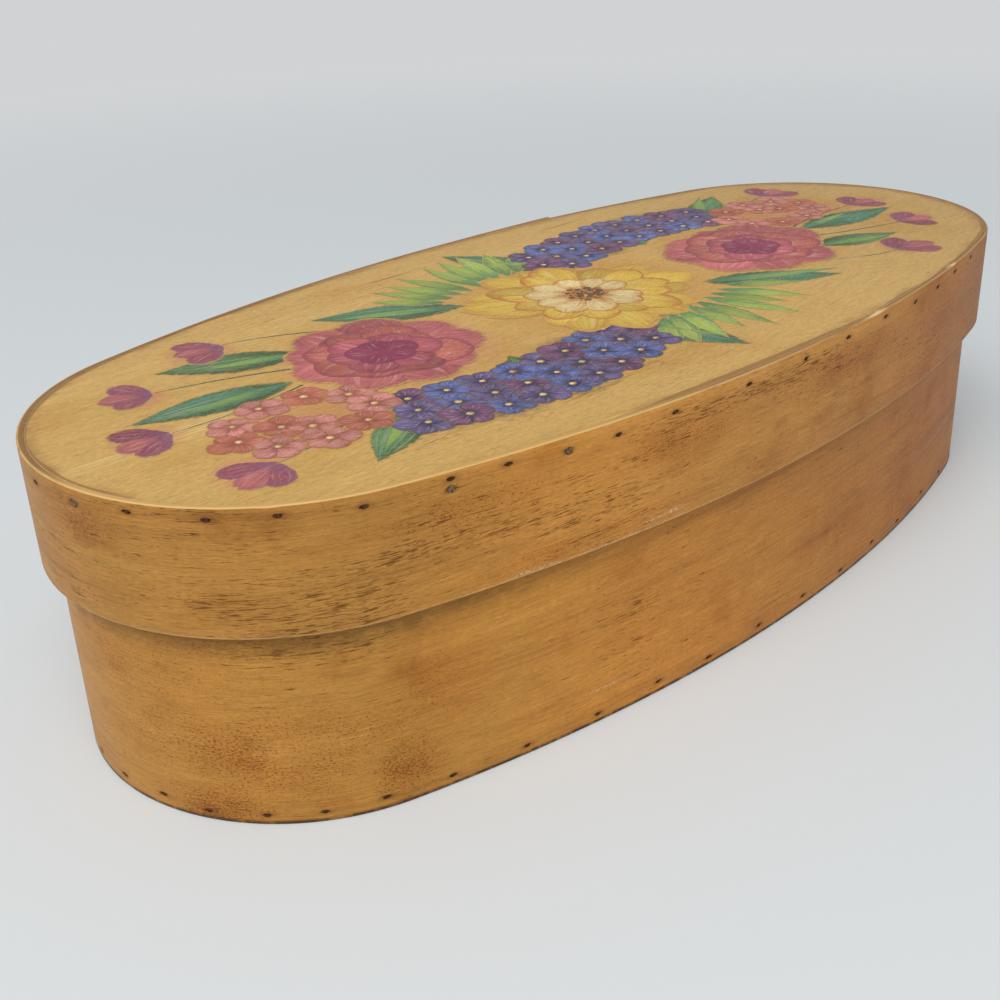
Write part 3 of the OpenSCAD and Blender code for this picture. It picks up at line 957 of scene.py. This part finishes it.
def flat_strip(name, strip, low, high, rows, free_edge, wave, chips):
    """The strip before bending, with its wood coordinates and its edge wear."""
    runs = list(np.arange(0, strip.length, STRIP_STEP)) + [strip.length]
    for spot, reach, _ in chips:
        runs += list(strip.tip - spot + np.linspace(-reach, reach, CHIP_STEPS))
    runs = np.unique(np.round([r for r in runs if 0 <= r <= strip.length], 6))
    section = band_profile(low, high, BAND_EASE, rows)
    points = []
    for run in runs:
        thick = strip.thickness(run)
        for face, drawn, z, _, _ in section:
            drawn = min(drawn, 0.45 * thick)
            out = thick - drawn if face else drawn
            from_tip = strip.tip - run
            out -= gentle_wave(from_tip, z, free_edge, wave)
            for spot, reach, depth in chips:
                near = max(0.0, 1 - abs(from_tip - spot) / reach)
                if face and z > high - BAND_EASE - 0.01 * MM:
                    z -= depth * near**0.5
                    out -= depth * near**0.5 * 0.8
            points.append((run, out, z))
    count = len(section)
    faces = ring_faces(len(runs), count)
    zones = []
    corners = []
    for i in range(len(runs) - 1):
        for j in range(count):
            k = (j + 1) % count
            up = (section[j][3], section[k][3]) if k else (low - BAND_T, low)
            here = strip.tip - runs[i]
            there = strip.tip - runs[i + 1]
            corners += [(here, up[0]), (there, up[0]), (there, up[1]), (here, up[1])]
            zones.append(max(section[j][4], section[k][4]) if k else EDGE)
    for i in (0, len(runs) - 1):
        faces.append([i * count + j for j in range(count)])
        corners += [(strip.tip - runs[i], section[j][2]) for j in range(count)]
        zones.append(EDGE)
    piece = mesh_piece(name, points, faces)
    layer = piece.data.uv_layers.new(name="grain")
    layer.data.foreach_set("uv", np.array(corners, dtype=float).ravel())
    mark = piece.data.attributes.new("zone", "INT", "FACE")
    mark.data.foreach_set("value", zones)
    outward_faces(piece)
    return piece


def bent_band(name, strip, flat, finishes):
    """Bends the flat strip round its path."""
    form = open_line("form", strip.path(FORM_STEP))
    values = {"Form": form, "Outside": finishes[0], "Edges": finishes[1], "Inside": finishes[2]}
    run_tree(flat, bending_tree(), values)
    flat.name = name
    remove(form)
    return flat


def islands(mesh):
    """The vertices of each separate solid in a mesh of loose triangles, as arrays."""
    place = places_of(mesh)
    _, same = np.unique(np.round(place / SAME_POINT), axis=0, return_inverse=True)
    same = same.ravel()
    group = list(range(same.max() + 1))

    def root(i):
        while group[i] != i:
            group[i] = group[group[i]]
            i = group[i]
        return i

    for face in mesh.polygons:
        first, *others = [same[v] for v in face.vertices]
        for other in others:
            group[root(other)] = root(first)
    owner = np.array([root(i) for i in same])
    return [place[owner == name] for name in np.unique(owner)]


def nail_heads(node, oval, inset):
    """Middle of each nail's head and its outward angle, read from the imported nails."""
    heads = []
    for points in islands(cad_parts[node].data):
        middle = points.mean(axis=0)
        _, angle = oval.unroll(middle[0], middle[1], inset)
        out = np.array([math.cos(angle), math.sin(angle), 0])
        reach = points @ out
        heads.append((points[reach > reach.max() - HEAD_SLICE].mean(axis=0), float(angle)))
    return heads


def dent_shape(head_d, sunk):
    """Cutter for a nail's pit and the shallow dent that the hammer left round it."""
    head = head_d / 2
    outline = [
        (head + 0.05 * MM, -0.25 * MM), (head + 0.07 * MM, sunk - 0.07 * MM),
        (1.2 * head, sunk - 0.02 * MM), (1.5 * head, sunk + 0.03 * MM), (1.6 * head, 1.5 * MM),
    ]
    sides = PIT_SIDES
    points = []
    for radius, z in outline:
        for i in range(sides):
            angle = 2 * math.pi * i / sides
            points.append((radius * math.cos(angle), radius * math.sin(angle), z))
    faces = [list(range(sides)), list(range((len(outline) - 1) * sides, len(outline) * sides))]
    faces += ring_faces(len(outline), sides)
    shape = mesh_piece("dent", points, faces)
    outward_faces(shape)
    return shape


def point_cloud(name, places, vectors=None, colours=None):
    """Loose points that carry named vectors and colours."""
    cloud = mesh_piece(name, places, [])
    for label, values in (vectors or {}).items():
        mark = cloud.data.attributes.new(label, "FLOAT_VECTOR", "POINT")
        mark.data.foreach_set("vector", np.array(values, dtype=float).ravel())
    for label, values in (colours or {}).items():
        mark = cloud.data.attributes.new(label, "FLOAT_COLOR", "POINT")
        mark.data.foreach_set("color", np.array(values, dtype=float).ravel())
    return cloud


def cut_dents(band, heads, head_d, sunk, finish, seed):
    """Cuts a pit and dent for each nail head into the band."""
    turns = []
    for _, angle in heads:
        out = (math.cos(angle), math.sin(angle), 0)
        along = (-math.sin(angle), math.cos(angle), 0)
        frame_of_nail = Matrix((along, (0, 0, 1), out)).transposed()
        turns.append(tuple(frame_of_nail.to_euler()))
    cutter = point_cloud(
        "dents",
        [place for place, _ in heads],
        {"turn": turns, "size": [PIT_STRETCH] * len(heads)},
    )
    shape = dent_shape(head_d, sunk)
    run_tree(
        cutter, placing_tree(),
        {"Shape": shape, "Size jitter": PIT_JITTER, "Seed": seed, "Finish": finish},
    )
    step = band.modifiers.new("dents", "BOOLEAN")
    step.operation = "DIFFERENCE"
    step.solver = "EXACT"
    step.material_mode = "TRANSFER"
    step.object = cutter
    bake_modifiers(band)
    remove(cutter, shape)


def mark_nails(band, oval, inset, heads, outside):
    """Gives the outside faces the way to their nearest nail, for the stains round it."""
    mesh = band.data
    spots = np.array([place for place, _ in heads])
    runs, _ = oval.unroll(spots[:, 0], spots[:, 1], inset)
    layer = mesh.uv_layers.new(name="nail")
    grain = mesh.uv_layers["grain"]
    place = places_of(mesh)
    run, _ = oval.unroll(place[:, 0], place[:, 1], inset)
    slot = mesh.materials.find(outside.name)
    around = 4 * ((oval.end_r - inset) * oval.end_turn + (oval.side_r - inset) * oval.side_turn)
    for face in mesh.polygons:
        corners = [mesh.loops[i].vertex_index for i in face.loop_indices]
        away_run = run[corners].mean() - runs
        away_run -= around * np.round(away_run / around)
        nearest = np.argmin(away_run**2 + (place[corners, 2].mean() - spots[:, 2]) ** 2)
        bare = face.material_index == slot and all(
            grain.data[i].uv.length < 1e-9 for i in face.loop_indices
        )
        for i, vertex in zip(face.loop_indices, corners):
            apart = run[vertex] - runs[nearest]
            apart -= around * round(apart / around)
            layer.data[i].uv = (apart, place[vertex, 2] - spots[nearest, 2])
            if bare:
                grain.data[i].uv = (run[vertex], place[vertex, 2])


def oval_board(name, oval, inset, low, high, ease, finishes):
    """A board with eased edges, cut to the oval, with its seam marked near the edge."""
    half = oval.end_c + oval.end_r - inset
    bend = np.linspace(-math.pi / 2, math.pi / 2, BOARD_STATIONS)
    stations = np.sin(bend) * half
    columns = BOARD_COLUMNS
    rings = [(0.0, low), (0.0, high - ease), (0.3 * ease, high - 0.3 * ease), (ease, high)]
    points = []
    for drawn, z in rings:
        shrunk = stations * (half - drawn) / half
        width = oval.half_width(shrunk, inset + drawn)
        loop = [(x, -w, z) for x, w in zip(shrunk, width)]
        loop += [(x, w, z) for x, w in zip(shrunk[::-1][1:-1], width[::-1][1:-1])]
        points += loop
    around = 2 * len(stations) - 2
    faces = ring_faces(len(rings), around)
    faces.append(list(range(around)))
    sides = len(faces)
    top = (len(rings) - 1) * around
    inner = {}
    last = len(stations) - 1
    for i in range(1, last):
        front = np.array(points[top + i])
        back = np.array(points[top + around - i])
        inner[i, 0] = top + i
        inner[i, columns] = top + around - i
        for k in range(1, columns):
            share = 0.5 - 0.5 * math.cos(math.pi * k / columns)
            inner[i, k] = len(points)
            points.append(tuple(front + share * (back - front)))
    for i in range(1, last - 1):
        for k in range(columns):
            faces.append((inner[i, k], inner[i + 1, k], inner[i + 1, k + 1], inner[i, k + 1]))
    for k in range(columns):
        faces.append((top, inner[1, k], inner[1, k + 1]))
        faces.append((top + last, inner[last - 1, k + 1], inner[last - 1, k]))
    piece = mesh_piece(name, points, faces)
    outward_faces(piece)
    for finish in finishes:
        piece.data.materials.append(finish)
    for face in piece.data.polygons:
        face.material_index = 0 if face.index >= sides else 1
    seam = piece.data.attributes.new("seam", "FLOAT", "POINT")
    seam.data.foreach_set("value", [oval.nearness(x, y, inset, SEAM_DIRT) for x, y, _ in points])
    smooth_to(piece, 35)
    return piece


def brush_shape(name, width_at):
    """A low closed brush stroke, one long and one wide, from its root at the origin."""
    rows = (-1.0, -0.5, 0.0, 0.5, 1.0)
    columns = STROKE_COLUMNS
    points = []
    corners = []
    for c in range(1, columns):
        along = (1 - math.cos(math.pi * c / columns)) / 2
        for row in rows:
            points.append((along, row * width_at(along) / 2, 1 - row * row))
            corners.append((along, (row + 1) / 2))
    root = len(points)
    points += [(0.0, 0.0, 0.0), (1.0, 0.0, 0.0)]
    corners += [(0.0, 0.5), (1.0, 0.5)]
    across = len(rows)
    faces = ring_faces(columns - 1, across)
    far = (columns - 2) * across
    for r in range(across):
        following = (r + 1) % across
        faces.append((root, r, following))
        faces.append((root + 1, far + following, far + r))
    shape = mesh_piece(name, points, faces)
    layer = shape.data.uv_layers.new(name="stroke")
    for loop in shape.data.loops:
        layer.data[loop.index].uv = corners[loop.vertex_index]
    outward_faces(shape)
    return shape


def over(colour, share):
    """A colour that covers the wood by share."""
    return (*colour[:3], share)


class Painting:
    """Strokes of the lid's painted flowers, laid out with a half-turn symmetry."""

    def __init__(self, height):
        self.height = height
        self.draw = np.random.default_rng(PAINT_SEED)
        self.strokes = {"petal": [], "leaf": [], "bead": []}
        self.stems = []

    def stroke(self, shape, spot, heading, length, width, tint, shade, layer, paired=True, body=1.0,
               round_off=0.6, under=BARE):
        """One stroke from its root at spot, and its twin across the middle of the lid.

        Body is how far the paint covers; round_off is how far its sides darken; under is the
        paint that shows at its ragged edge, with how far that covers the wood as its alpha.
        """
        for turn in (0, math.pi) if paired else (0,):
            x = spot[0] * math.cos(turn) - spot[1] * math.sin(turn)
            y = spot[0] * math.sin(turn) + spot[1] * math.cos(turn)
            place = (x, y, self.height + layer * PAINT_LAYER)
            heading_here = heading + turn + self.draw.normal(0, STROKE_TURN)
            grow = 1 + self.draw.normal(0, STROKE_GROWTH)
            light = 1 + self.draw.normal(0, STROKE_LIGHT)
            self.strokes[shape].append(
                (place, (0, 0, heading_here), (length * grow, width * grow, PAINT_LAYER),
                 [c * light for c in tint[:3]] + [body],
                 [c * light for c in shade[:3]] + [round_off],
                 under)
            )

    def wash(self, spot, heading, length, width, colour, body, paired=True):
        """A thin soft patch of paint under the strokes, round its middle at spot."""
        root = (spot[0] - length / 2 * math.cos(heading), spot[1] - length / 2 * math.sin(heading))
        self.stroke("bead", root, heading, length, width, colour, colour, 0, paired, body)

    def ring(self, spot, count, radius, width, tint, shade, layer, under, turn=0.0, paired=True,
             root=0.0):
        """Petals round a middle."""
        for i in range(count):
            heading = turn + 2 * math.pi * i / count
            start = (spot[0] + root * math.cos(heading), spot[1] + root * math.sin(heading))
            self.stroke("petal", start, heading, radius - root, width, tint, shade, layer, paired,
                        under=under)

    def floret(self, spot, radius, tint, shade, layer, under):
        """A small five-petalled flower."""
        turn = self.draw.uniform(0, 6)
        self.ring(spot, 5, radius, 0.95 * radius, tint, shade, layer, under, turn)
        self.stroke("bead", (spot[0] - 0.15 * radius, spot[1]), 0, 0.3 * radius, 0.27 * radius,
                    CREAM, ORANGE, layer + 1, under=over(shade, 0.9))

    def stem(self, points, half_width, colour):
        """A thin line through the given points, and its twin."""
        spots = np.array(points, dtype=float)
        share = np.linspace(0, 1, len(spots))
        fine = np.linspace(0, 1, STEM_POINTS)
        order = min(len(spots) - 1, 3)
        x = np.polyval(np.polyfit(share, spots[:, 0], order), fine)
        y = np.polyval(np.polyfit(share, spots[:, 1], order), fine)
        taper = half_width * (1 - STEM_TAPER * fine)
        for sign in (1, -1):
            line = [(sign * a, sign * b, self.height + 0.5 * PAINT_LAYER) for a, b in zip(x, y)]
            self.stems.append((line, taper, colour))


def spray_bow(share):
    """How far the blue spray lies from the lid's middle line, at a share of its length."""
    return (46 - 9 * (2 * share - 1) ** 2) * MM


def lay_out_flowers(height):
    """The painting: a yellow flower between two roses, with small flowers, leaves and buds."""
    p = Painting(height)
    p.wash((0, 0), 0.0, 98 * MM, 94 * MM, ORANGE, 0.45, False)
    p.wash(ROSE_SPOT, 0.0, 82 * MM, 78 * MM, ROSE, 0.45)
    p.wash(CLUSTER_SPOT, 0.0, 62 * MM, 52 * MM, CORAL, 0.5)
    for share in (0.0, 0.25, 0.5, 0.75, 1.0):
        p.wash(((20 + 92 * share) * MM, spray_bow(share)), 0.0, 46 * MM, 40 * MM, NIGHT, 0.62)
    paint_leaves(p)
    paint_buds(p)
    paint_clusters(p)
    paint_large_flowers(p)
    return p


def paint_leaves(p):
    """Broad leaves with a pale rib, and fans of narrow blades."""
    for spot, heading, length, width, tint in [
        ((34, -22), -0.62, 62, 22, TEAL), ((98, -26), -0.42, 48, 19, LEAF),
        ((116, -8), -0.12, 54, 18, TEAL), ((62, 24), 1.05, 46, 18, LEAF),
        ((14, 30), 1.75, 46, 19, TEAL), ((108, 34), 0.62, 46, 18, LEAF),
    ]:
        at = (spot[0] * MM, spot[1] * MM)
        p.stroke("leaf", at, heading, length * MM, width * MM, tint, DEEP_GREEN, 1, round_off=1.0,
                 under=over(DEEP_GREEN, 0.35))
        rib = (at[0] + 2 * MM * math.cos(heading), at[1] + 2 * MM * math.sin(heading))
        p.stroke("leaf", rib, heading, (length - 12) * MM, 0.3 * width * MM, LIME, tint, 2, body=0.7,
                 under=over(tint, 0.9))
    for i in range(9):
        heading = -0.95 - 0.165 * i
        at = ((36 - 5 * i) * MM, (-30 - 0.8 * i) * MM)
        p.stroke("leaf", at, heading, (40 - 1.8 * abs(i - 4)) * MM, 9 * MM, LIME, LEAF, 2,
                 round_off=0.8, under=over(LEAF, 0.4))


def paint_buds(p):
    """Buds of three petals on thin stems."""
    for line in [
        [(118, -4), (142, -1), (165, -2)], [(122, 26), (142, 34), (158, 37)],
        [(112, -18), (132, -27), (152, -33)], [(76, -34), (96, -48), (114, -54)],
    ]:
        p.stem([(x * MM, y * MM) for x, y in line], 0.6 * MM, DEEP_GREEN)
    for spot, heading in [
        ((163, -2), -0.05), ((156, 36), 0.3), ((150, -32), -0.4), ((112, -53), -0.2)
    ]:
        at = (spot[0] * MM, spot[1] * MM)
        p.wash((at[0] + 8 * MM, at[1]), heading, 26 * MM, 22 * MM, ROSE, 0.4)
        for fan in (-0.6, 0.6, 0.0):
            p.stroke("petal", at, heading + fan, 18 * MM, 11 * MM, BERRY if fan else ROSE, PLUM, 3,
                     round_off=0.8, under=over(BERRY, 0.5))


def paint_clusters(p):
    """Small flowers: the blue sprays and the coral clusters."""
    violets = [VIOLET, BLUE, PLUM, VIOLET, BLUE]
    for i in range(27):
        share = (i // 3) / 8
        across = i % 3 - 1
        aside = 11.5 * across * MM * (1 - 0.25 * share)
        spot = ((18 + 92 * share + 4 * across) * MM, spray_bow(share) + aside)
        p.floret(spot, 8.6 * MM, violets[(2 * i + across) % 5], NIGHT, 4 + i % 2, over(NIGHT, 0.85))
    for i in range(12):
        angle = 2 * math.pi * i / 9
        ring_r = (17 if i < 9 else 6) * MM
        spot = (CLUSTER_SPOT[0] + 1.25 * ring_r * math.cos(angle),
                CLUSTER_SPOT[1] + 0.95 * ring_r * math.sin(angle))
        p.floret(spot, 8.2 * MM, SALMON if i % 3 else CORAL, RUST, 5 + i % 2, over(RUST, 0.8))


def paint_large_flowers(p):
    """The two roses and the yellow flower between them, ring by ring."""
    for count, radius, width, tint, layer, share in [
        (9, 35, 28, ROSE, 6, 0.6), (8, 27, 23, CORAL, 7, 0.95), (6, 19, 17, ROSE, 8, 0.95),
        (5, 12, 12, BERRY, 9, 1.0),
    ]:
        p.ring(ROSE_SPOT, count, radius * MM, width * MM, tint, BERRY, layer, over(BERRY, share),
               0.35 * layer)
    for count, radius, width, tint, layer, share in [
        (15, 42, 19, YELLOW, 7, 0.55), (13, 32, 16, YELLOW, 8, 0.95), (10, 21, 12, CREAM, 9, 0.95)
    ]:
        p.ring((0, 0), count, radius * MM, width * MM, tint, ORANGE, layer, over(ORANGE, share),
               0.2 * layer, False, 3 * MM)
    for i in range(22):
        reach = 7.4 * MM * math.sqrt((i + 0.5) / 22)
        spot = (reach * math.cos(2.4 * i) - 1.4 * MM, reach * math.sin(2.4 * i))
        p.stroke("bead", spot, 0, 2.8 * MM, 2.6 * MM, BROWN if i % 3 else ORANGE, BROWN, 10, False,
                 under=over(BROWN, 0.9))


def painted_stem(line, taper, colour, finish):
    """A low painted line that thins along its way."""
    stem = open_line("stem", line)
    wide = stem.data.attributes.new("half_width", "FLOAT", "POINT")
    wide.data.foreach_set("value", taper)
    for label, paint_colour in (("tint", colour), ("shade", colour), ("under", BARE)):
        mark = stem.data.attributes.new(label, "FLOAT_COLOR", "POINT")
        mark.data.foreach_set("color", np.tile(paint_colour, len(line)))
    run_tree(stem, stem_tree(), {"Height": STEM_HEIGHT, "Finish": finish})
    layer = stem.data.uv_layers.new(name="stroke")
    layer.data.foreach_set("uv", np.tile(STEM_UV, len(stem.data.loops)))
    return stem


def painted_lid(height, finish):
    """The painting as one mesh of low strokes on the lid board."""
    p = lay_out_flowers(height)
    shapes = {
        "petal": brush_shape("petal", lambda u: math.sin(math.pi * u**1.5) ** 0.62),
        "leaf": brush_shape("leaf", lambda u: math.sin(math.pi * u**0.85) ** 1.15),
        "bead": brush_shape("bead", lambda u: math.sqrt(1 - (2 * u - 1) ** 2)),
    }
    made = []
    for label, strokes in p.strokes.items():
        places, turns, sizes, tints, shades, unders = zip(*strokes)
        cloud = point_cloud(
            label + "_strokes", places, {"turn": turns, "size": sizes},
            {"tint": tints, "shade": shades, "under": unders},
        )
        values = {"Shape": shapes[label], "Size jitter": STROKE_JITTER, "Seed": PAINT_SEED,
                  "Finish": finish}
        run_tree(cloud, placing_tree(), values)
        made.append(cloud)
    made += [painted_stem(*stem, finish) for stem in p.stems]
    remove(*shapes.values())
    painting = joined("lid_painting", made)
    smooth_to(painting, 20)
    return painting


def joined(name, pieces):
    """Joins pieces that share their layers into the first of them."""
    bpy.ops.object.select_all(action="DESELECT")
    for piece in pieces:
        piece.select_set(True)
    bpy.context.view_layer.objects.active = pieces[0]
    bpy.ops.object.join()
    pieces[0].name = name
    return pieces[0]


def sink_nails(band, oval, inset, rows, outside):
    """Cuts the pits of the rows of nails into a band, and marks the way to the nearest nail."""
    heads = []
    for node, head_d, sunk, seed in rows:
        found = nail_heads(node, oval, inset)
        cut_dents(band, found, head_d, sunk, outside, seed)
        heads += found
    mark_nails(band, oval, inset + BAND_T, heads, outside)
    smooth_to(band, 40)


def dress(node, finish):
    """Gives a CAD node its finish."""
    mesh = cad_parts[node].data
    mesh.materials.clear()
    mesh.materials.append(finish)


def settle(piece, body, node):
    """Rides the piece on its body and lets it stand for its CAD node."""
    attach(piece, body)
    if node:
        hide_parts(node)


def soft_lamp(name, place, aim, size, power):
    """A square soft box that points from place at aim."""
    lamp = bpy.data.lights.new(name, "AREA")
    lamp.size = size
    lamp.energy = power
    holder = bpy.data.objects.new(name, lamp)
    away = np.array(place) - np.array(aim)
    flat = math.hypot(away[0], away[1])
    holder.rotation_euler = (math.atan2(flat, away[2]), 0, math.atan2(away[0], -away[1]))
    holder.location = place
    bpy.context.scene.collection.objects.link(holder)


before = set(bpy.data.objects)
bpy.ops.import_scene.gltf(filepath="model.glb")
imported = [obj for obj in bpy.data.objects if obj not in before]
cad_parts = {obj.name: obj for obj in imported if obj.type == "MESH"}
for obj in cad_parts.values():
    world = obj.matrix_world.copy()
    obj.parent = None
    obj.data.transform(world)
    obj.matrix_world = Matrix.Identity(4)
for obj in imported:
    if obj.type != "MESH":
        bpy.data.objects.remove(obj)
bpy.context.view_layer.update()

lid_low, lid_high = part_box("lid_band")
box_low, box_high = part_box("box_band")
board_low, board_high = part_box("lid_board")
floor_low, floor_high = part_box("bottom_board")
oval = Oval(lid_high[0], -lid_low[1], SIDE_BOW)
box_inset = lid_high[0] - box_high[0]

# Finishes.
lid_outside = band_finish(
    "varnished_lid_band", LID_TONES, 0.5, LID_MARKS,
    # Upper arris: rubbed wear and a painted highlight; lower edge: rubbed wear.
    [(lid_high[2], -1, 0.4 * MM, RUBBED_AND_HIGHLIGHT, 0.6, ALL_ROUND),
     (lid_low[2], 1, 0.9 * MM, RUBBED_AND_HIGHLIGHT, 0.3, ALL_ROUND)],
)
box_outside = band_finish(
    "varnished_box_band", BOX_TONES, 0.30, BOX_MARKS,
    # Painted shade with some grime under the lid's edge, fading out past the front-left; painted
    # contact shadow with some dirt along the foot.
    [(lid_low[2] + 1.5 * MM, -1, 12 * MM, SHADE_AND_GRIME, 0.36, 0.09),
     (box_low[2], 1, 1.7 * MM, SHADE_AND_GRIME, 1.0, ALL_ROUND)],
)
lid_edges = rim_finish("lid_band_edges", lid_high[2], LID_CHIPS[:2])
box_edges = rim_finish("box_band_edges", box_high[2], [])
bare_strip = raw_finish("bare_strip_wood", bent=True)
bare_board = raw_finish("bare_board_wood", bent=False)
honey_top = lid_top_finish()
paint = paint_finish()
nail_iron = iron_finish(
    "rusty_nail_iron", tone(0.044, 0.020, 0.011), tone(0.120, 0.048, 0.020), 0.85, 0.0, 0.08
)
tack_iron = iron_finish(
    "dull_tack_iron", tone(0.06, 0.05, 0.045), tone(0.14, 0.09, 0.06), 0.5, 0.8, 0.5
)
wire_steel = iron_finish(
    "grey_wire_steel", tone(0.20, 0.128, 0.066), tone(0.045, 0.024, 0.013), 0.6, 0.0, 0.12
)

# Bands.
lid_strip = Strip(oval, 0.0)
lid_flat = flat_strip(
    "lid_flat", lid_strip, lid_low[2], lid_high[2], LID_ROWS, lid_low[2], LID_WAVE, LID_CHIPS
)
lid_side = bent_band("lid_side", lid_strip, lid_flat, (lid_outside, lid_edges, bare_strip))
box_strip = Strip(oval, box_inset)
box_flat = flat_strip(
    "box_flat", box_strip, box_low[2], box_high[2], BOX_ROWS, box_high[2], BOX_WAVE, []
)
box_side = bent_band("box_side", box_strip, box_flat, (box_outside, box_edges, bare_strip))

# Pits and stains of the nails: node, head, depth below the wood and seed.
sink_nails(
    lid_side, oval, 0.0,
    [("lid_nails", NAIL_HEAD_D, NAIL_SET, 2), ("lid_wire_nails", WIRE_HEAD_D, 0.0, 3),
     ("lid_lap_tacks", TACK_HEAD_D, 0.0, 4)],
    lid_outside,
)
sink_nails(
    box_side, oval, box_inset,
    [("bottom_nails", NAIL_HEAD_D, NAIL_SET, 5), ("box_lap_tacks", TACK_HEAD_D, 0.0, 6)],
    box_outside,
)

# Boards and painting.
top_height = board_high[2] - LID_TOP_DROP
lid_top = oval_board(
    "lid_top", oval, BAND_T + SEAM, board_low[2], top_height, LID_TOP_EASE,
    (honey_top, bare_board),
)
box_floor = oval_board(
    "box_floor", oval, box_inset + BAND_T + SEAM, floor_low[2], floor_high[2], BOX_FLOOR_EASE,
    (bare_board, bare_board),
)
lid_painting = painted_lid(top_height, paint)

settle(lid_side, "lid", "lid_band")
settle(box_side, "box", "box_band")
settle(lid_top, "lid", "lid_board")
settle(box_floor, "box", "bottom_board")
settle(lid_painting, "lid", None)
for node in ("bottom_nails", "lid_nails"):
    dress(node, nail_iron)
for node in ("box_lap_tacks", "lid_lap_tacks"):
    dress(node, tack_iron)
dress("lid_wire_nails", wire_steel)

# Floor, light and camera.
corners = [(FLOOR_HALF * x, FLOOR_HALF * y, 0) for x, y in ((-1, -1), (1, -1), (1, 1), (-1, 1))]
floor = mesh_piece("pale_floor", corners, [(0, 1, 2, 3)])
floor.data.materials.append(floor_finish())

studio = Sky("studio")
studio.set(BACKGROUND_TONE, studio.scale(studio.seen(), SKY_LIGHT, BACKGROUND))
bpy.context.scene.world = studio.world

soft_lamp("window_light", LAMP_PLACE, LAMP_AIM, LAMP_SIZE, LAMP_POWER)

lens = bpy.data.cameras.new("camera")
lens.lens = CAMERA_LENS
lens.sensor_width = 36.0
lens.clip_start = 0.01
camera = bpy.data.objects.new("camera", lens)
camera.location = CAMERA_PLACE
camera.rotation_euler = [math.radians(angle) for angle in CAMERA_TURN]
bpy.context.scene.collection.objects.link(camera)
bpy.context.scene.camera = camera
bpy.context.scene.view_settings.view_transform = "Standard"
